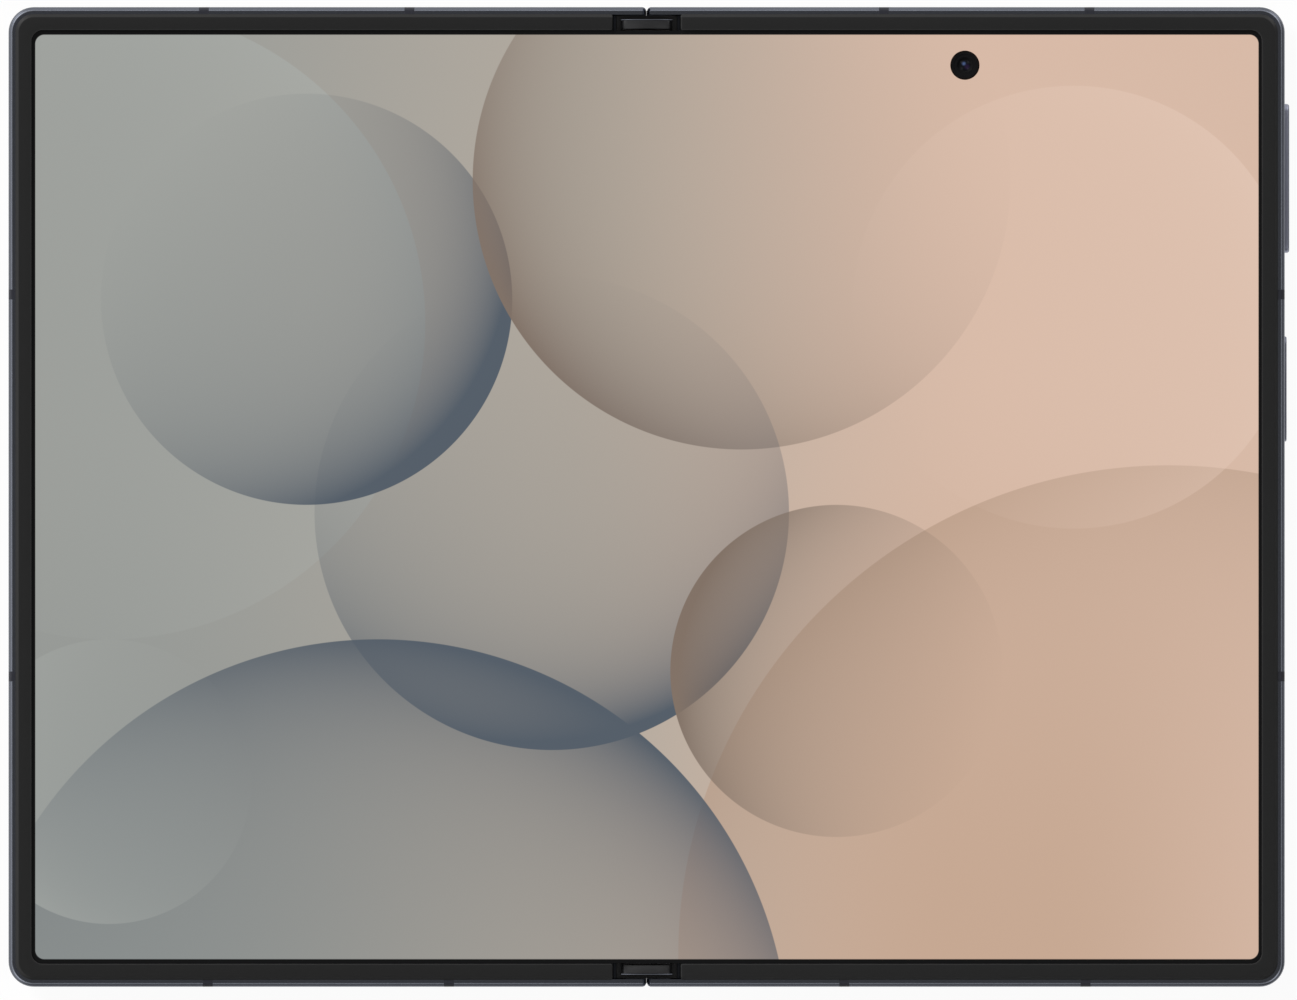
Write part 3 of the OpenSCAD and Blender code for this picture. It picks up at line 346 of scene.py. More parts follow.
def make_anodised(name, shown, rough=0.3, light_and_shade_bands=(), recess_shade_and_corner_light=()):
    """Bead-blasted aluminium under a coloured oxide, a little brighter where hands rub it.

    The bands are (start, level) pairs: how far inside the body's outline in mm each begins,
    and how bright the colour is painted there, such as a painted highlight line along the
    frame's edge and painted shade along a key's outer edge. The last argument holds two levels:
    painted shade inside the hole at each end of the hinge, and painted light on the corners
    beside the hinge line.
    """
    f = Finish(name)
    place = f.place()
    grain = f.noise(place, 9.0, 4.0, 0.6)
    cloud = f.noise(place, 0.05, 2.0)
    base = linear(shown)
    tone = f.mix(cloud.step(0.35, 0.7), base, scaled(base, 1.12))
    if light_and_shade_bands or recess_shade_and_corner_light:
        x, y = place.part("X"), place.part("Y")
        inside = -rounded_box(f, x, y, (HALF_W, HALF_H), settings("body").corner_r)
        # Painted light and shade: each band paints the colour brighter or darker from its start
        # inwards
        for start, level in light_and_shade_bands:
            tone = f.mix(inside.step(start - 0.025, start + 0.025), tone, scaled(base, level))
    # Painted shade inside the hole at each end of the hinge, and painted light on the corners
    # beside the hinge line
    if recess_shade_and_corner_light:
        front = place.part("Z").step(RECESS_FOOT, RECESS_FOOT + 0.2)
        across = abs(place.part("X"))
        deep = inside.step(RECESS_IN, RECESS_IN + 0.04) * inside.step(RECESS_OUT, RECESS_OUT - 0.1)
        deep = deep * across.step(RECESS_HALF, RECESS_HALF - 0.1)
        corner = across.step(CORNER_HALF, CORNER_HALF - 0.05)
        tone = f.mix(deep * front, tone, scaled(base, recess_shade_and_corner_light[0]))
        tone = f.mix(corner * front, tone, scaled(base, recess_shade_and_corner_light[1]))
    return f.surface(
        base_color=tone,
        metallic=1.0,
        roughness=rough + 0.08 * (grain - 0.5),
        normal=f.bump(grain, 0.004 * MM),
    )


def make_plastic(name, shown, rough=0.5, grain_size=6.0, depth=0.004, specular=0.4, highlight_inset=None):
    """Moulded plastic with a fine spark-eroded grain, and a painted highlight along the edge of an
    opening, where one is given.
    """
    f = Finish(name)
    place = f.place()
    grain = f.noise(place, grain_size, 5.0, 0.65)
    base = linear(shown)
    tone = f.mix(grain.step(0.45, 0.75), base, scaled(base, 1.15, 0.0004))
    # Painted highlight: a pale line along the opening's edge
    if highlight_inset:
        half = (HALF_W - highlight_inset, HALF_H - highlight_inset)
        x, y = place.part("X"), place.part("Y")
        past = rounded_box(f, x, y, half, settings("body").opening_r)
        tone = f.mix(past.step(0.16, 0.04), tone, scaled(base, 2.2))
    return f.surface(
        base_color=tone,
        roughness=grain.step(0.2, 0.8, rough - 0.06, rough + 0.06),
        specular_ior_level=specular,
        normal=f.bump(grain, depth * MM),
    )


def make_brushed(name, shown, rough=0.3, stretch=(1, 0.04, 1), depth=0.002):
    """Steel with fine drawn lines along one axis and faint heat tint."""
    f = Finish(name)
    lines = f.noise(f.place(stretch), 16.0, 3.0, 0.7)
    haze = f.noise(f.place(), 0.4, 2.0)
    base = linear(shown)
    warm = (min(1, base[0] * 1.06), base[1], base[2] * 0.92, 1.0)
    return f.surface(
        base_color=f.mix(haze.step(0.4, 0.7), base, warm),
        metallic=1.0,
        roughness=lines.step(0.3, 0.7, rough - 0.07, rough + 0.09),
        normal=f.bump(lines, depth * MM),
    )


def make_frosted_glass(name, shown):
    """Back glass: acid-etched top over a deep colour with fine mineral sparkle."""
    f = Finish(name)
    place = f.place()
    etch = f.noise(place, 14.0, 4.0, 0.6)
    sparkle = f.spots(place, 8.0).step(0.16, 0.05)
    depth = f.noise(place, 0.02, 2.0)
    base = linear(shown)
    tone = f.mix(depth.step(0.3, 0.7), scaled(base, 0.8), base)
    return f.surface(
        base_color=f.mix(sparkle * 0.35, tone, scaled(base, 1.6)),
        metallic=sparkle * 0.4 + 0.1,
        roughness=etch.step(0.3, 0.7, 0.30, 0.42),
        coat_weight=0.35,
        coat_roughness=0.22,
        normal=f.bump(etch, 0.0015 * MM),
    )


def make_black_glass(name):
    """Polished cover glass over black ink, with the faintest polish marks."""
    f = Finish(name)
    marks = f.noise(f.place(), 0.6, 6.0, 0.7)
    return f.surface(
        base_color=f.mix(marks.step(0.4, 0.7), tint(9, 9, 11), tint(12, 12, 15)),
        roughness=marks.step(0.45, 0.8, 0.03, 0.09),
        coat_weight=1.0,
        coat_roughness=0.02,
    )


def make_lens_glass(name):
    """Clear flat window with a thin blue-green coating."""
    f = Finish(name)
    rim = f.node("ShaderNodeLayerWeight", {"Blend": 0.35}, "Facing")
    return f.surface(
        base_color=f.mix(rim.step(0.1, 0.9), tint(176, 184, 192), tint(120, 132, 168)),
        roughness=0.02,
        specular_ior_level=0.25,
        transmission_weight=0.97,
        ior=1.5,
    )


def make_flash(name, middle):
    """Diffusing window of the flash, with fine ring prisms and the yellow emitter behind."""
    f = Finish(name)
    away = f.place() - tuple(v / MM for v in middle)
    reach = (away * (1.0, 1.0, 0.0)).length()
    prisms = (reach * 22.0).sine() * 0.5 + 0.5
    emitter = reach.step(0.75, 0.35)
    return f.surface(
        base_color=f.mix(emitter, tint(226, 222, 206), tint(232, 196, 84)),
        roughness=prisms.step(0.0, 1.0, 0.12, 0.3),
        coat_weight=0.6,
        coat_roughness=0.05,
        normal=f.bump(prisms, 0.02 * MM),
    )


def make_board(name, shown):
    """Solder mask over copper tracks, with plated vias."""
    f = Finish(name)
    place = f.place()
    sizes = {"Scale": 0.9, "Mortar Size": 0.05, "Brick Width": 1.7, "Row Height": 0.35}
    tracks = f.node("ShaderNodeTexBrick", {"Vector": place, **sizes}, "Fac", offset=0.37)
    vias = f.spots(place, 0.55).step(0.12, 0.08)
    base = linear(shown)
    tone = f.mix(tracks, base, scaled(base, 1.7, 0.004))
    return f.surface(
        base_color=f.mix(vias, tone, tint(205, 170, 96)),
        metallic=vias,
        roughness=vias.step(0, 1, 0.34, 0.25),
        normal=f.bump(tracks + vias, 0.02 * MM),
    )


def make_foil(name, shown):
    """Aluminium-laminate pouch, slightly creased where it was sealed."""
    f = Finish(name)
    place = f.place()
    crease = f.noise(place, 0.22, 5.0, 0.62)
    fine = f.noise(place, 3.0, 2.0)
    base = linear(shown)
    return f.surface(
        base_color=f.mix(crease.step(0.35, 0.75), base, scaled(base, 1.5)),
        metallic=0.55,
        roughness=fine.step(0.3, 0.7, 0.34, 0.46),
        normal=f.bump(crease, 0.25 * MM),
    )


def make_film(name, shown):
    """Polyimide film with copper tracks running along x."""
    f = Finish(name)
    place = f.place()
    across = (place.part("Y") * 1.6).fraction()
    tracks = across.step(0.42, 0.5) * across.step(0.92, 0.84)
    fleck = f.noise(place, 2.0, 3.0)
    base = linear(shown)
    return f.surface(
        base_color=f.mix(tracks * 0.8, base, scaled(base, 2.1)),
        metallic=tracks * 0.5,
        roughness=fleck.step(0.3, 0.7, 0.22, 0.34),
        normal=f.bump(tracks, 0.03 * MM),
    )


def make_wire(name, shown):
    """Enamelled copper wire."""
    f = Finish(name)
    wave = f.noise(f.place(), 1.5, 3.0)
    base = linear(shown)
    return f.surface(
        base_color=f.mix(wave.step(0.3, 0.7), scaled(base, 0.7), base),
        metallic=1.0,
        roughness=wave.step(0.3, 0.7, 0.2, 0.32),
        coat_weight=0.5,
        coat_roughness=0.1,
    )


def make_screen():
    """The lit screen: overlapping translucent discs on a soft gradient, in a black border."""
    choice = settings("screen")
    f = Finish("screen")
    uv = f.node("ShaderNodeUVMap", (), uv_map="screen")
    size = (2 * HALF_W / MM, 2 * HALF_H / MM, 0.0)
    place = (uv - (0.5, 0.5, 0.0)) * size
    x, y = place.part("X"), place.part("Y")
    bronze = linear(choice.bronze)
    shown = f.mix(x.step(-70, 10), linear(choice.sage), linear(choice.sand))
    shown = f.mix(x.step(-12, 46), shown, linear(choice.peach))
    shown = f.mix(x.step(0, 40) * x.step(88, 50) * y.step(20, -60) * 0.8, shown, bronze)
    shown = f.mix(x.step(10, -78) * y.step(10, -62) * 0.5, shown, tint(132, 139, 139))
    tones = {
        "slate": linear(choice.slate),
        "umber": linear(choice.umber),
        "bronze": scaled(bronze, 0.84),
        "light": tint(230, 203, 186),
        "mist": tint(168, 172, 168),
    }
    for disc in DISCS:
        shown = disc_layer(f, place, shown, disc, tones)
    half = (HALF_W - choice.side, HALF_H - choice.ends)
    border = rounded_box(f, x - choice.shift / MM, y, half, choice.lit_r)
    return f.surface(
        base_color=tint(12, 12, 13),
        roughness=f.noise(f.place(), 0.5, 3.0).step(0.3, 0.7, 0.10, 0.14),
        specular_ior_level=0.22,
        emission_color=f.mix(border.step(-0.05, 0.05), shown, (0, 0, 0, 1)),
        emission_strength=choice.brightness,
    )


# Discs of the screen's picture: middle and radius in mm, tone, its veil over the whole disc,
# its depth at the rim, how far it fades inwards in mm, and the direction of the deep side
DISCS = (
    (66, -58, 62, "bronze", 0.22, 0.50, 16, 128),
    (-68, 22, 40, "mist", 0.40, 0.25, 10, 30),
    (-34, -70, 52, "slate", 0.25, 0.80, 14, 66),
    (-43, 25, 26, "slate", 0.40, 0.92, 9, -38),
    (12, 40, 34, "umber", 0.20, 0.78, 11, 214),
    (-12, -2, 30, "slate", 0.28, 0.88, 10, -76),
    (24, -22, 21, "umber", 0.42, 0.72, 8, 164),
    (54, 24, 28, "light", 0.34, 0.18, 8, 20),
    (-68, -36, 18, "mist", 0.38, 0.30, 5, 200),
)


def disc_layer(f, place, under, disc, tones):
    x, y, radius, tone, veil, rim, fade, toward = disc
    away = place - (x, y, 0.0)
    reach = away.length()
    toward = math.radians(toward)
    ahead = (math.cos(toward) / (2 * radius), math.sin(toward) / (2 * radius), 0.0)
    facing = (away.dot(ahead) + 0.5).most(0.0)
    glow = ((reach - radius) / fade).least(0.0).exponential() * facing * facing
    inside = reach.step(radius + 0.06, radius - 0.06)
    return f.mix(inside * (glow * rim + facing * veil), under, tones[tone])


def rounded_box(f, x, y, half, radius):
    """Distance outside a rounded rectangle, below 0 inside it.

    The place and the distance are in millimetres, the sizes in metres.
    """
    past_x = abs(x) - (half[0] - radius) / MM
    past_y = abs(y) - (half[1] - radius) / MM
    corner = f.node("ShaderNodeCombineXYZ", (past_x.most(0.0), past_y.most(0.0), 0.0)).length()
    return corner + past_x.most(past_y).least(0.0) - radius / MM


def make_front_lens(middle):
    """Dark lens element with a small painted blue glint beside a fainter painted violet one."""
    f = Finish("front_lens")
    place = f.place() - tuple(v / MM for v in middle)
    # Painted glints: a blue spot and a violet spot at fixed places on the lens
    blue = (place - (-0.13, 0.2, 0.0)).length().step(0.36, 0.02)
    violet = (place - (0.28, -0.22, 0.0)).length().step(0.5, 0.1)
    shade = f.mix(violet * 0.8, tint(11, 13, 17), tint(42, 28, 60))
    fleck = f.noise(f.place(), 1.2, 2.0)
    return f.surface(
        base_color=f.mix(blue, shade, tint(74, 92, 132)),
        roughness=fleck.step(0.3, 0.7, 0.05, 0.08),
        specular_ior_level=0.15,
    )


def make_coated_lens():
    """Dark lens element with its coating's reflections painted on: blue in the middle of its dome
    and violet where it slopes.
    """
    f = Finish("coated_lens")
    # Painted reflections: the coating's colours, set by how far the dome slopes
    slope = 1.0 - abs(f.node("ShaderNodeTexCoord", (), "Normal").part("Z"))
    stops = ((0.0, tint(10, 16, 40)), (0.45, tint(28, 22, 66)), (1.0, tint(12, 30, 34)))
    painted_coating_glint = f.node("ShaderNodeValToRGB", (slope,), stops=stops)
    fleck = f.noise(f.place(), 1.2, 2.0)
    return f.surface(
        base_color=painted_coating_glint,
        roughness=fleck.step(0.3, 0.7, 0.03, 0.06),
        coat_weight=1.0,
        coat_roughness=0.01,
    )


def make_finishes():
    body, inner = settings("body"), settings("inner")
    edge = body.edge / MM
    # Painted highlight: a bright line along the frame's edge, and the frame beyond it painted a
    # little darker
    light_and_shade_bands = ((edge - 0.07, 3.4), (edge + 0.06, 0.92))
    # Painted shade inside the hole at each end of the hinge, and painted light on the corners
    # beside the hinge line
    make_anodised("frame_metal", body.metal, 0.24, light_and_shade_bands, (0.35, 1.7))
    # Painted shade: the keys are painted darker along their outer edge
    make_anodised("volume_rocker_metal", body.key_metal, 0.36, ((-0.85, 0.45), (-0.47, 1.0)))
    make_anodised("side_key_metal", body.key_metal, 0.36, ((-0.85, 0.45), (-0.13, 0.8)))
    # Painted shade on the spine inside the hole at each end of the hinge
    make_anodised("spine_metal", body.metal, 0.32, recess_shade_and_corner_light=(0.3, 1.0))
    make_anodised("lens_metal", scaled(body.metal, 1.25)[:3], 0.16)
    make_anodised("lip_metal", body.metal, 0.22)
    make_plastic("band_plastic", body.band, 0.42)
    # Painted highlight along the edge of the bezel's opening
    make_plastic("bezel_plastic", body.bezel_tone, 0.4, 7.0, 0.003, 0.34, body.bezel_in)
    make_plastic("cap_plastic", body.cap, 0.36, 5.0, 0.003)
    make_plastic("camera_black", rgb(13, 13, 14), 0.45, specular=0.2)
    make_brushed("hinge_metal", rgb(178, 180, 184))
    make_brushed("shield_metal", rgb(176, 178, 180), 0.34, (0.05, 1, 1))
    make_brushed("magnet", rgb(150, 152, 156), 0.22, (1, 1, 0.05))
    make_frosted_glass("back_glass", body.back)
    make_black_glass("cover_glass")
    make_lens_glass("lens_glass")
    make_flash("flash_lens", middle_of("flash_led"))
    make_board("board", inner.mask)
    make_foil("battery_foil", rgb(70, 72, 76))
    make_wire("coil_copper", inner.copper)
    make_film("flex_film", inner.film)
    make_coated_lens()
    make_front_lens(middle_of("inner_camera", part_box("inner_camera")[1][2] - 0.4 * MM))
    make_plastic("front_black", rgb(9, 9, 10), 0.5, 6.0, 0.002, 0.12)
    make_brushed("contact_gold", rgb(226, 186, 104), 0.2)
    make_screen()


# ------------------------------------------------------------------ meshes


def placed(name, data):
    """A new object at the origin."""
    made = bpy.data.objects.new(name, data)
    bpy.context.scene.collection.objects.link(made)
    return made


def plain_mesh(name, shape):
    verts, faces = shape
    mesh = bpy.data.meshes.new(name)
    mesh.from_pydata(verts, [], faces)
    return mesh


def evaluated(made):
    """The mesh that an object's modifiers give."""
    bpy.context.view_layer.update()
    depsgraph = bpy.context.evaluated_depsgraph_get()
    return bpy.data.meshes.new_from_object(made.evaluated_get(depsgraph))


def piece(name, shape, material):
    return dress(plain_mesh(name, shape), name, material)


def dress(mesh, name, material):
    """Makes a mesh a piece at the origin, closed and with its normals outwards."""
    work = bmesh.new()
    work.from_mesh(mesh)
    bmesh.ops.remove_doubles(work, verts=work.verts, dist=1e-7)
    bmesh.ops.recalc_face_normals(work, faces=work.faces)
    work.to_mesh(mesh)
    work.free()
    mesh.materials.clear()
    mesh.materials.append(finish(material))
    mesh.polygons.foreach_set("use_smooth", [True] * len(mesh.polygons))
    mesh.set_sharp_from_angle(angle=SHARP)
    made = placed(name, mesh)
    return made


def join(shapes):
    """Several (vertices, faces) pairs as one."""
    verts, faces = [], []
    for some, more in shapes:
        faces += [[len(verts) + i for i in face] for face in more]
        verts += some
    return verts, faces


def skin(rings):
    """Quads between neighbouring closed rings of equal length, closed at both ends."""
    count = len(rings[0])
    verts = [tuple(p) for ring in rings for p in ring]
    faces = []
    for here in range(0, len(verts) - count, count):
        there = here + count
        for i in range(count):
            j = (i + 1) % count
            faces.append([here + i, here + j, there + j, there + i])
    faces.append(list(range(count))[::-1])
    faces.append(list(range(len(verts) - count, len(verts))))
    return verts, faces


def revolve(profile, middle=(0, 0, 0), segments=64):
    """Turns (radius, height) pairs in mm about an upright axis; radius 0 closes a pole."""
    verts, faces, rings = [], [], []
    for radius, height in profile:
        count = segments if radius > 0 else 1
        rings.append(range(len(verts), len(verts) + count))
        for k in range(count):
            turn = 2 * math.pi * k / segments
            spot = radius * math.cos(turn), radius * math.sin(turn), height
            verts.append(tuple(m + v * MM for m, v in zip(middle, spot)))
    for low, high in zip(rings, rings[1:]):
        for k in range(segments):
            ends = [low[k % len(low)], low[(k + 1) % len(low)]]
            ends += [high[(k + 1) % len(high)], high[k % len(high)]]
            faces.append(list(dict.fromkeys(ends)))
    return verts, faces


def soft_box(low, high, radius, segments=3):
    """A box with rounded edges."""
    work = bmesh.new()
    bmesh.ops.create_cube(work, size=1)
    for v in work.verts:
        v.co = Vector([a if c < 0 else b for c, a, b in zip(v.co, low, high)])
    bmesh.ops.bevel(
        work, geom=work.edges, offset=radius, segments=segments, profile=0.5, affect="EDGES"
    )
    verts = [tuple(v.co) for v in work.verts]
    faces = [[v.index for v in f.verts] for f in work.faces]
    work.free()
    return verts, faces


def rim_path(inset, radius, start, side):
    """Points from the hinge line round a half's free edges, inset from its outer edge."""
    w, h = HALF_W - inset, HALF_H - inset
    path = [(start, -h)]
    for turn in quarter(14):
        path.append((w - radius + radius * math.sin(turn), -h + radius - radius * math.cos(turn)))
    path += [(x, -y) for x, y in path[:0:-1]] + [(start, h)]
    return [(side * x, y) for x, y in path]


def rim_sweep(profile, start, side, soft):
    """Sweeps (inset, height, corner radius) points round a half, as one closed solid.

    Its two ends are rounded with the radius soft.
    """
    paths = [rim_path(inset, radius, start + soft, side) for inset, _, radius in profile]
    rings = [
        [(path[k][0], path[k][1], z) for path, (_, z, _) in zip(paths, profile)]
        for k in range(len(paths[0]))
    ]
    low, near, far = profile[0][1], profile[0][0], profile[-1][0]
    before, after = [], []
    for turn in quarter(6)[1:]:
        drop, x = soft * (1 - math.cos(turn)), side * (start + soft - soft * math.sin(turn))
        ends = [
            (min(max(inset, near + drop), far - drop), low + max(0, (z - low) - 0.5 * drop))
            for inset, z, _ in profile
        ]
        before.insert(0, [(x, inset - HALF_H, z) for inset, z in ends])
        after.append([(x, HALF_H - inset, z) for inset, z in ends])
    return skin(before + rings + after)


def grown(build, name, inputs, material):
    """Runs a geometry tree on an empty mesh and keeps the result as a plain mesh."""
    tree = bpy.data.node_groups.new(name + "_tree", "GeometryNodeTree")
    tree.interface.new_socket("Geometry", in_out="OUTPUT", socket_type="NodeSocketGeometry")
    kinds = {tuple: "NodeSocketVector", int: "NodeSocketInt", float: "NodeSocketFloat"}
    places = {}
    for label, value in inputs.items():
        kind = kinds[type(value)]
        socket = tree.interface.new_socket(label, in_out="INPUT", socket_type=kind)
        places[label] = socket.identifier
    graph = Graph(tree)
    source = tree.nodes.new("NodeGroupInput")
    given = {label: Field(graph, source.outputs[label]) for label in inputs}
    shape = graph.node("GeometryNodeRealizeInstances", (build(graph, given),))
    shape = graph.node("GeometryNodeSetMaterial", {"Geometry": shape, "Material": finish(material)})
    tree.links.new(shape.socket, tree.nodes.new("NodeGroupOutput").inputs[0])
    holder = placed(name + "_holder", bpy.data.meshes.new(name + "_holder"))
    modifier = holder.modifiers.new("shape", "NODES")
    modifier.node_group = tree
    for label, value in inputs.items():
        modifier[places[label]] = value
    mesh = evaluated(holder)
    mesh.name = name
    holder.modifiers.remove(modifier)
    bpy.data.objects.remove(holder)
    return dress(mesh, name, material)


def repeated(name, shape, first, offset, count, material, slot=None):
    """Copies a shape along a line, from first, with a geometry tree."""
    pattern = placed(name + "_pattern", plain_mesh(name + "_pattern", shape))

    def laid(graph, given):
        line = graph.node("GeometryNodeMeshLine", given)
        copy = graph.node("GeometryNodeObjectInfo", {"Object": pattern}, "Geometry")
        return graph.node("GeometryNodeInstanceOnPoints", {"Points": line, "Instance": copy})

    inputs = {"Count": count, "Start Location": first, "Offset": offset}
    made = grown(laid, name, inputs, material)
    bpy.data.objects.remove(pattern)
    return made


# ------------------------------------------------------------------ pieces


def screen_shape(side):
    """One half of the flexible screen, in columns that are fine where it bends."""
    edge, corner = 1.65 * MM, 1.55 * MM
    w, h = HALF_W - edge, HALF_H - edge
    bend_h = HALF_H - 3.0 * MM
    stations = [(0.25 * MM * k, bend_h) for k in range(18)]
    stations += [(4.42 * MM, h), (5.0 * MM, h), (8.0 * MM, h), (40.0 * MM, h)]
    for turn in quarter(12):
        x, y = w - corner + corner * math.sin(turn), h - corner + corner * math.cos(turn)
        stations.append((x, y))
    under, over = PANEL
    rings = [
        [(side * x, -y, over), (side * x, y, over), (side * x, y, under), (side * x, -y, under)]
        for x, y in stations
    ]
    return skin(rings)


def cut_hole(made, middle, radius):
    """Bores a round hole through the screen, along z."""
    r, low, high = radius / MM, PANEL[0] / MM - 1, PANEL[1] / MM + 1
    shape = revolve([(0, low), (r, low), (r, high), (0, high)], middle, 96)
    cutter = piece("cutter", shape, "screen")
    bore = made.modifiers.new("bore", "BOOLEAN")
    bore.operation, bore.solver, bore.object = "DIFFERENCE", "EXACT", cutter
    mesh = evaluated(made)
    made.modifiers.remove(bore)
    mesh.set_sharp_from_angle(angle=SHARP)
    made.data = mesh
    bpy.data.objects.remove(cutter)


def lay_uv(made):
    """Lays the screen's map over both halves, so that the picture runs through the fold."""
    layer = made.data.uv_layers.new(name="screen")
    for loop in made.data.loops:
        x, y, _ = made.data.vertices[loop.vertex_index].co
        layer.data[loop.index].uv = (0.5 + x / (2 * HALF_W), 0.5 + y / (2 * HALF_H))


class PHONE_OT_finishes(bpy.types.Operator):
    """Makes every finish and gives each part of the frame its own"""

    bl_idname = "phone.finishes"
    bl_label = "Finishes"

    def execute(self, context):
        make_finishes()
        slots = {part["node"]: part["material_slot"] for part in frame["record"]["subparts"]}
        for node, made in frame["nodes"].items():
            slot = slots[node]
            name = "screen" if slot == "display" else slot
            if not made.material_slots:
                raise RuntimeError(node + " has no material slot")
            for place in made.material_slots:
                place.material = finish(name)
        return {"FINISHED"}


class PHONE_OT_screens(bpy.types.Operator):
    """Makes both halves of the folding inner screen"""

    bl_idname = "phone.screens"
    bl_label = "Inner screen"

    def execute(self, context):
        for half, side in HALVES.items():
            made = piece("screen_" + half, screen_shape(side), "screen")
            if half == "right":
                cut_hole(made, middle_of("inner_camera", 0.0), settings("cameras").hole_r)
            lay_uv(made)
            nodes = ["display_" + half] + (["display_fold"] if half == "right" else [])
            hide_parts(*nodes)
            end = (side * settings("screen").bend, 0, PANEL[1])
            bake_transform(made)
        return {"FINISHED"}


class PHONE_OT_bezels(bpy.types.Operator):
    """Makes the raised plastic surround of each half's screen"""

    bl_idname = "phone.bezels"
    bl_label = "Bezels"

    def execute(self, context):
        body = settings("body")
        foot, flat, inner = body.bezel_foot, body.bezel_flat, body.bezel_in
        under = PANEL[1]

        def corner(inset):
            reach = (inset - flat) / (inner - flat)
            outer = body.corner_r - inset
            return outer if reach < 0 else outer + (body.opening_r - body.corner_r + inner) * reach

        soft = 0.06 * MM
        section = [
            (foot, under), (foot, under + 0.02 * MM),
            (flat - 1.1 * soft, FRONT - soft), (flat - 0.4 * soft, FRONT - 0.35 * soft),
            (flat + 0.4 * soft, FRONT - 0.06 * soft), (flat + 1.2 * soft, FRONT),
            ((flat + inner) / 2, FRONT),
            (inner - 2 * soft, FRONT), (inner - soft, FRONT - 0.1 * soft),
            (inner - 0.3 * soft, FRONT - 0.4 * soft), (inner, FRONT - soft),
            (inner, under),
        ]
        profile = [(inset, z, corner(inset)) for inset, z in section]
        for half, side in HALVES.items():
            shape = rim_sweep(profile, body.bezel_end, side, 0.3 * MM)
            made = piece("bezel_" + half, shape, "bezel_plastic")
            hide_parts(half + "_bezel")
            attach(made, half + "_half")
        return {"FINISHED"}


class PHONE_OT_hinge_cable(bpy.types.Operator):
    """Makes the ribbon cable that crosses the hinge, in one piece for each half"""

    bl_idname = "phone.hinge_cable"
    bl_label = "Hinge cable"

    def execute(self, context):
        low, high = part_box("hinge_flex_cable")
        thick, loop, dip = 0.12 * MM, 4.4 * MM, 1.4 * MM
        for half, side in HALVES.items():
            rings = []
            for k in range(25):
                x = high[0] * k / 24
                z = high[2] - dip * (1 + math.cos(math.pi * min(1, x / loop))) / 2
                corners = ((low[1], z), (high[1], z), (high[1], z - thick), (low[1], z - thick))
                rings.append([(side * x, y, height) for y, height in corners])
            made = piece("hinge_cable_" + half, skin(rings), "flex_film")
            if half == "right":
                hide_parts("hinge_flex_cable")
            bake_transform(made)
        return {"FINISHED"}


# Sizes of the caps at the spine's ends, in mm, measured in from the top or bottom edge: the
# domed block's inner end, how much it bows, its outer end, both ends of the plug beside it and
# the thin lip's middle. After them the lip's half length, radius and depth below the dome.
CAP_INNER, CAP_BOW, CAP_OUTER, PLUG_ENDS, LIP_IN = 2.78, 0.17, 1.65, (1.64, 1.06), 1.58
LIP_HALF, LIP_R, LIP_DEPTH = 3.22, 0.06, 0.03


def cap_dome(x):
    """Height of a cap's face below the front, in mm, on a cylinder of 10 mm radius."""
    return -0.55 - (10 - math.sqrt(100 - x * x))


def cap_point(end, x, inset, z):
    """A point of the cap at the end 1 or -1, given in mm, with its height from the front."""
    return x * MM, end * (HALF_H - inset * MM), FRONT + z * MM


def cap_section(half):
    """The spine cap's outline across the hinge: the spine's round back under a domed block.

    The plug has no block, so its half width is 0. The back's two arcs have radius r, about axes
    at this depth, and end at the rim.
    """
    axis, depth, r, rim = 1.45, 1.4, 2.5, 2.2
    start = math.asin((rim - depth) / r)
    turns = [start + (math.pi / 2 - start) * k / 10 for k in range(11)]
    right = [(axis + r * math.cos(a), -depth - r * math.sin(a)) for a in turns]
    if not half:
        return right + [(-x, z) for x, z in right[::-1]]
    soft = 0.45
    tops = [(half, -rim), (half, cap_dome(half) - soft)]
    for turn in quarter(6)[1:-1]:
        x = half - soft * (1 - math.cos(turn))
        tops.append((x, cap_dome(x) - soft * (1 - math.sin(turn))))
    tops += [(half * k / 8, cap_dome(half * k / 8)) for k in range(7, 0, -1)]
    left = [(-x, z) for x, z in (right[::-1] + tops)[::-1]]
    return right[::-1] + tops + [(0, cap_dome(0))] + left


class PHONE_OT_spine_caps(bpy.types.Operator):
    """Makes the domed caps beside the screen at both ends of the spine, with their thin lips"""

    bl_idname = "phone.spine_caps"
    bl_label = "Spine caps"

    def execute(self, context):
        half = settings("body").cap_half / MM
        block, plug = cap_section(half), cap_section(0)
        stations = ((0, 0.3), (0.02, 0.16), (0.06, 0.05), (0.14, 0), (0.94, 0), (1, 0.05))
        shapes, lips = [], []
        for end in (-1, 1):
            rings = []
            for along, drop in stations:
                ring = []
                for x, z in block:
                    inner = CAP_INNER + CAP_BOW * (x / half) ** 2
                    inset = inner + (CAP_OUTER - inner) * along
                    ring.append(cap_point(end, x, inset, z - (drop if z > -2 else 0)))
                rings.append(ring)
            shapes.append(skin(rings))
            rings = [[cap_point(end, x, inset, z) for x, z in plug] for inset in PLUG_ENDS]
            shapes.append(skin(rings))
            rod = []
            for k in range(13):
                x = LIP_HALF * (k / 6 - 1)
                ring = []
                for turn in [math.pi / 4 * n for n in range(8)]:
                    z = cap_dome(x) - LIP_DEPTH + LIP_R * math.sin(turn)
                    ring.append(cap_point(end, x, LIP_IN - LIP_R * math.cos(turn), z))
                rod.append(ring)
            lips.append(skin(rod))
        made = piece("spine_caps", join(shapes), "cap_plastic")
        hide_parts("spine_end_caps")
        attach(made, "spine")
        made = piece("spine_cap_lips", join(lips), "lip_metal")
        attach(made, "spine")
        return {"FINISHED"}


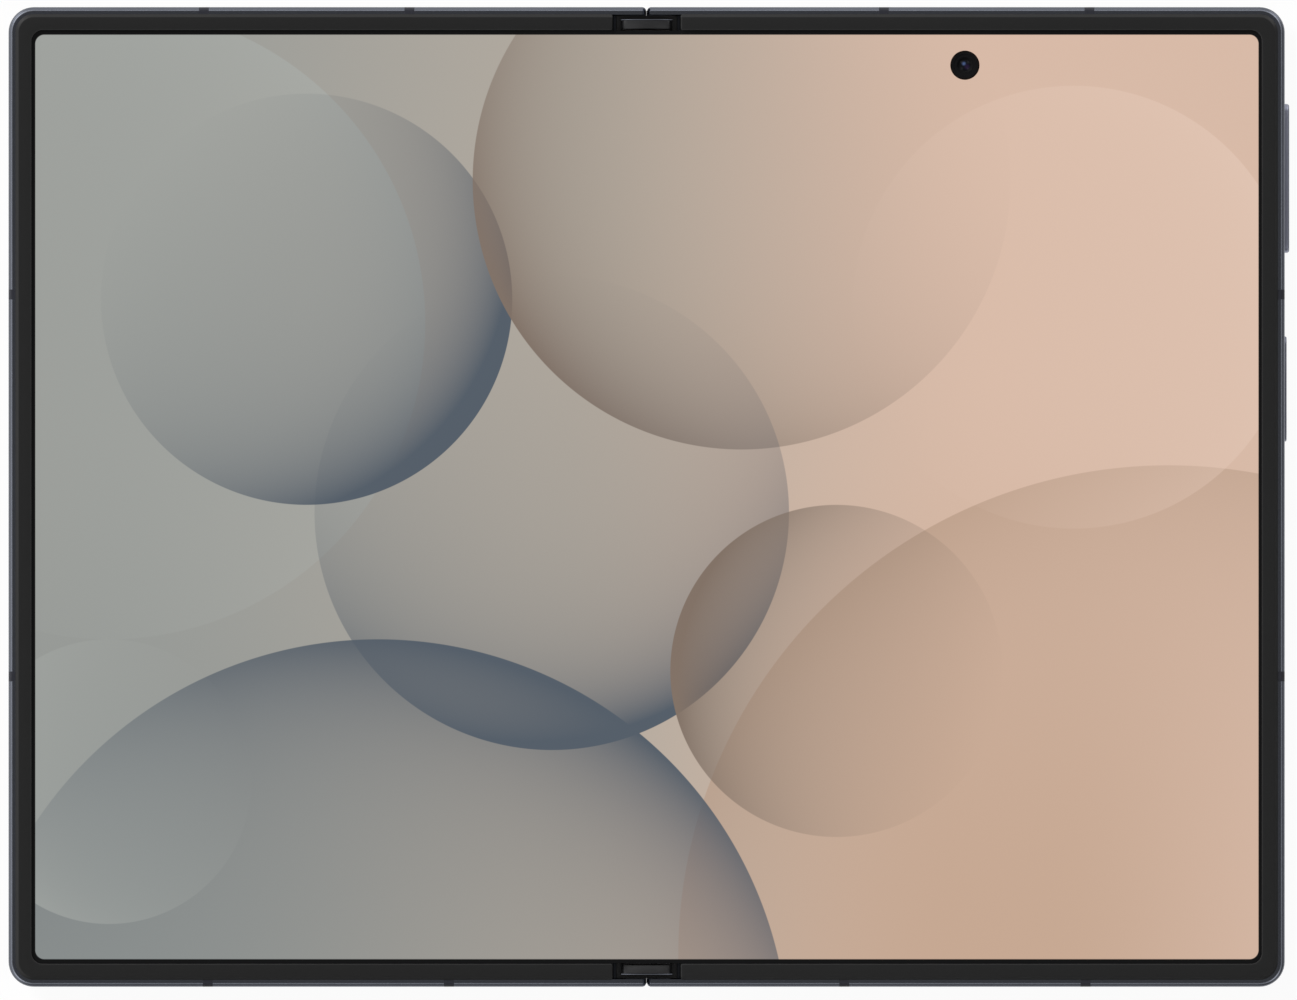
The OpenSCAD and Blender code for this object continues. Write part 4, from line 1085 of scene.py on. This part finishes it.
class PHONE_OT_slot_shade_plates(bpy.types.Operator):
    """Makes dark plates that stand for the shade in the slot between the frames at both ends of the
    hinge
    """

    bl_idname = "phone.slot_lips"
    bl_label = "Slot shade plates"

    def execute(self, context):
        low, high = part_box("right_frame")
        z0, z1 = low[2] + 0.6 * MM, high[2] - 0.3 * MM
        near, far = HALF_H - 1.035 * MM, HALF_H - 0.45 * MM
        # Painted shade: dark plates put in the slot, where there is only shade
        lips = [
            soft_box((-0.03 * MM, y0, z0), (low[0], y1, z1), 0.025 * MM)
            for y0, y1 in ((-far, -near), (near, far))
        ]
        made = piece("slot_lips", join(lips), "band_plastic")
        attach(made, "right_half")
        return {"FINISHED"}


class PHONE_OT_keys(bpy.types.Operator):
    """Makes the volume rocker and the side key with their rounded caps"""

    bl_idname = "phone.keys"
    bl_label = "Keys"

    def execute(self, context):
        flange, reach, neck = 0.25 * MM, 0.4 * MM, 0.1 * MM
        for node in ("volume_rocker", "side_key"):
            low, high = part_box(node)
            y0, y1 = low[1] + reach, high[1] - reach
            z0, z1 = low[2] + neck, high[2] - neck
            soft = min(0.3 * MM, (high[0] - HALF_W) * 0.7)
            rings = [stadium(low[0] + flange * 0.5, y0, y1, z0, z1)]
            for turn in quarter(6):
                x, less = high[0] - soft + soft * math.sin(turn), soft * (1 - math.cos(turn))
                rings.append(stadium(x, y0 + less, y1 - less, z0 + less, z1 - less))
            plate = soft_box(low, (low[0] + flange, high[1], high[2]), 0.08 * MM)
            shape = join([skin(rings), plate])
            made = piece(node + "_cap", shape, node + "_metal")
            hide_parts(node)
            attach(made, node)
        return {"FINISHED"}


def stadium(x, y0, y1, z0, z1):
    """A closed ring with round ends, in the plane of x."""
    r, middle = (z1 - z0) / 2, (z0 + z1) / 2
    ring = []
    for centre, start in ((y1 - r, -90), (y0 + r, 90)):
        for k in range(11):
            turn = math.radians(start + 18 * k)
            ring.append((x, centre + r * math.cos(turn), middle + r * math.sin(turn)))
    return ring


class PHONE_OT_front_camera(bpy.types.Operator):
    """Makes the inner camera under the hole in the screen"""

    bl_idname = "phone.front_camera"
    bl_label = "Front camera"

    def execute(self, context):
        low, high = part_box("inner_camera")
        top = middle_of("inner_camera", high[2])
        barrel = revolve((
            (0, -0.62), (0.55, -0.62), (0.62, -0.5), (0.95, -0.3), (1.0, -0.12), (1.38, -0.07),
            (1.42, -0.02), (1.66, 0), (1.72, -0.05), (1.72, -1.3), (0, -1.3),
        ), top)
        case = soft_box(low, (high[0], high[1], high[2] - 1.2 * MM), 0.25 * MM)
        made = piece("front_camera", join([barrel, case]), "front_black")
        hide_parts("inner_camera")
        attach(made, "right_half")
        lens = revolve((
            (0, -0.34), (0.3, -0.36), (0.6, -0.42), (0.9, -0.52), (0.9, -0.56), (0, -0.56),
        ), top, 48)
        made = piece("front_camera_lens", lens, "front_lens")
        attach(made, "right_half")
        return {"FINISHED"}


class PHONE_OT_rear_cameras(bpy.types.Operator):
    """Makes what shows behind the rear windows: baffles and coated lenses"""

    bl_idname = "phone.rear_cameras"
    bl_label = "Rear cameras"

    def execute(self, context):
        low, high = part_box("rear_camera_modules")
        face, half = low[2], (high[0] - low[0]) / 2
        count = settings("cameras").rear_count
        pitch = (high[1] - low[1] - 2 * half) / (count - 1)
        first = ((low[0] + high[0]) / 2, low[1] + half, face)
        row = (first, (0.0, pitch, 0.0), count)
        barrel = revolve((
            (0, 1.35), (1.5, 1.35), (1.6, 1.2), (2.12, 1.08), (2.16, 0.7), (2.62, 0.6),
            (2.66, 0.36), (3.2, 0.26), (3.24, 0.12), (3.9, 0.07), (3.95, 0.01), (4.06, 0.0),
            (4.1, 0.05), (4.1, 2.3), (0, 2.3),
        ))
        under = FRONT - face - 3.1 * MM
        foot = soft_box((-half, -half, under), (half, half, high[2] - face), 0.5 * MM)
        made = repeated("rear_camera_barrels", join([barrel, foot]), *row, "camera_black")
        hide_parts("rear_camera_modules")
        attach(made, "right_half")
        dome = [(2.05 * math.sin(turn), 0.98 - 0.5 * math.cos(turn)) for turn in quarter(10)]
        lens = revolve(dome + [(2.05, 1.04), (0, 1.04)])
        made = repeated("rear_camera_lenses", lens, *row, "coated_lens", "lens_glass")
        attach(made, "right_half")
        return {"FINISHED"}


class PHONE_OT_coil(bpy.types.Operator):
    """Winds the charging coil from enamelled wire"""

    bl_idname = "phone.coil"
    bl_label = "Charging coil"

    def execute(self, context):
        low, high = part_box("charging_coil")
        outer = (high[0] - low[0]) / 2
        wire = (high[2] - low[2]) / 2
        width = 9.6 * MM

        def wound(graph, given):
            winding = {
                "Resolution": 48, "Rotations": given["Turns"], "Height": 0.0,
                "Start Radius": given["Inner radius"], "End Radius": given["Outer radius"],
            }
            spiral = graph.node("GeometryNodeCurveSpiral", winding)
            section = {"Resolution": 8, "Radius": given["Wire radius"]}
            ring = graph.node("GeometryNodeCurvePrimitiveCircle", section)
            sweep = {"Curve": spiral, "Profile Curve": ring, "Fill Caps": True}
            tube = graph.node("GeometryNodeCurveToMesh", sweep)
            move = {"Geometry": tube, "Translation": given["Middle"]}
            return graph.node("GeometryNodeTransform", move)

        inputs = {
            "Turns": float(settings("inner").turns),
            "Inner radius": outer - width,
            "Outer radius": outer - wire,
            "Wire radius": wire,
            "Middle": middle_of("charging_coil"),
        }
        made = grown(wound, "charging_coil_winding", inputs, "coil_copper")
        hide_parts("charging_coil")
        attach(made, "right_half")
        return {"FINISHED"}


class PHONE_OT_contacts(bpy.types.Operator):
    """Lays the gold contacts on both faces of the socket's tongue"""

    bl_idname = "phone.contacts"
    bl_label = "Socket contacts"

    def execute(self, context):
        x, _, z = middle_of("usb_port")
        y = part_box("usb_port")[0][1] + 2.6 * MM
        count = settings("inner").contacts
        pitch, reach = 0.5 * MM, 0.36 * MM
        half = (0.14 * MM, 1.4 * MM, 0.03 * MM)
        strip = soft_box([-v for v in half], half, 0.012 * MM, 2)
        for name, face in (("lower", -1), ("upper", 1)):
            first = (x - pitch * (count - 1) / 2, y, z + face * reach)
            made = repeated(
                "socket_contacts_" + name, strip, first, (pitch, 0.0, 0.0), count,
                "contact_gold", "coil_copper",
            )
            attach(made, "right_half")
        return {"FINISHED"}


# ------------------------------------------------------------------ stage


def make_stage_finish():
    """Pale floor that is white where it is bare and keeps the phone's shadow."""
    f = Finish("stage_floor")
    seen = f.any_ray("Camera", "Glossy", "Transmission")
    lit = f.node("ShaderNodeBsdfDiffuse", {"Color": (0.9, 0.9, 0.9, 1)})
    white = f.node("ShaderNodeEmission", {"Color": (1, 1, 1, 1), "Strength": 1.0})
    both = f.node("ShaderNodeMixShader", {0: seen * 0.94, 1: lit, 2: white})
    f.node("ShaderNodeOutputMaterial", {"Surface": both})
    return f.material


def soft_light(name, place, size, power):
    """A round lamp that looks at the origin and shows in no mirror."""
    light = bpy.data.lights.new(name, "AREA")
    light.shape, light.size, light.energy = "DISK", size, power
    made = placed(name, light)
    made.location = place
    made.rotation_euler = (-Vector(place)).to_track_quat("-Z", "Y").to_euler()
    made.visible_glossy = made.visible_camera = False


# Levels of the surroundings: the plain light, and the high and low patches that metal mirrors
AMBIENT, HIGH_GLINT, LOW_GLINT = 0.22, 0.9, 1.6


class PHONE_OT_stage(bpy.types.Operator):
    """Makes the floor, the lights, the surroundings and the camera"""

    bl_idname = "phone.stage"
    bl_label = "Stage"

    def execute(self, context):
        stage = settings("stage")
        scene = bpy.context.scene
        w = stage.floor / 2
        corners = [(-w, -w, 0), (w, -w, 0), (w, w, 0), (-w, w, 0)]
        floor = placed("floor", plain_mesh("floor", (corners, [(0, 1, 2, 3)])))
        floor.data.materials.append(make_stage_finish())
        floor.location.z = -0.05 * MM

        soft_light("key", (-0.9, 0.8, 0.62), 0.55, stage.key)
        soft_light("fill", (0.6, -0.5, 1.3), 0.9, stage.fill)

        world = bpy.data.worlds.new("surroundings")
        world.use_nodes = True
        scene.world = world
        g = Graph(world.node_tree)
        world.node_tree.nodes.clear()
        camera_ray = g.any_ray("Camera")
        mirrored = g.any_ray("Glossy", "Transmission")
        aim = g.node("ShaderNodeTexCoord", (), "Generated")
        up = aim.part("Z")
        side = aim.dot((-0.4, 0.4, 0.0)) + 0.67
        sky = up.step(0.6, 0.97, 1.15, 0.4) * side.least(1.0)
        # Soft patches on the diagonals, whose glints show on the body's round corners
        turn = abs(aim.part("X") * aim.part("Y")) / (1.001 - up * up)
        high = up.step(0.3, 0.5) * up.step(0.97, 0.9) * HIGH_GLINT
        low = up.step(0.4, 0.25) * aim.part("Y").step(0.0, 0.5) * LOW_GLINT
        sky = sky + turn.step(0.36, 0.5) * (high + low)
        level = camera_ray.most(mirrored * sky)
        level = level.most((1 - camera_ray.most(mirrored)) * AMBIENT)
        back = g.node("ShaderNodeBackground", {"Color": (1, 1, 1, 1), "Strength": level})
        g.node("ShaderNodeOutputWorld", {"Surface": back})

        lens = bpy.data.cameras.new("camera")
        lens.lens = stage.lens
        lens.sensor_width = 36
        lens.sensor_fit = "HORIZONTAL"
        lens.clip_start, lens.clip_end = 0.01, 20
        camera = placed("camera", lens)
        away = stage.frame_w * stage.lens / lens.sensor_width
        camera.location = (stage.shift_x, stage.shift_y, FRONT + away)
        scene.camera = camera
        scene.view_settings.view_transform = "Standard"
        return {"FINISHED"}


# ------------------------------------------------------------------ add-on


OPERATORS = (
    PHONE_OT_finishes,
    PHONE_OT_screens,
    PHONE_OT_bezels,
    PHONE_OT_hinge_cable,
    PHONE_OT_spine_caps,
    PHONE_OT_slot_shade_plates,
    PHONE_OT_keys,
    PHONE_OT_front_camera,
    PHONE_OT_rear_cameras,
    PHONE_OT_coil,
    PHONE_OT_contacts,
    PHONE_OT_stage,
)


class PHONE_PT_panel(bpy.types.Panel):
    """Lists the phone's settings and the steps that make it"""

    bl_label = "Folding phone"
    bl_idname = "PHONE_PT_panel"
    bl_space_type = "VIEW_3D"
    bl_region_type = "UI"
    bl_category = "Phone"

    def draw(self, context):
        for name, group in SETTINGS.items():
            box = self.layout.box()
            box.label(text=name.replace("_", " ").capitalize())
            for key in group.__annotations__:
                box.prop(getattr(context.scene, name), key)
        for operator in OPERATORS:
            self.layout.operator(operator.bl_idname)


def register():
    for group in SETTINGS.values():
        bpy.utils.register_class(group)
    for name, group in SETTINGS.items():
        setattr(bpy.types.Scene, name, PointerProperty(type=group))
    for operator in OPERATORS:
        bpy.utils.register_class(operator)
    bpy.utils.register_class(PHONE_PT_panel)


def unregister():
    bpy.utils.unregister_class(PHONE_PT_panel)
    for operator in reversed(OPERATORS):
        bpy.utils.unregister_class(operator)
    for name in SETTINGS:
        delattr(bpy.types.Scene, name)
    for group in reversed(SETTINGS.values()):
        bpy.utils.unregister_class(group)


def main():
    register()
    for operator in OPERATORS:
        group, step = operator.bl_idname.split(".")
        getattr(getattr(bpy.ops, group), step)()


if __name__ == "__main__":
    main()
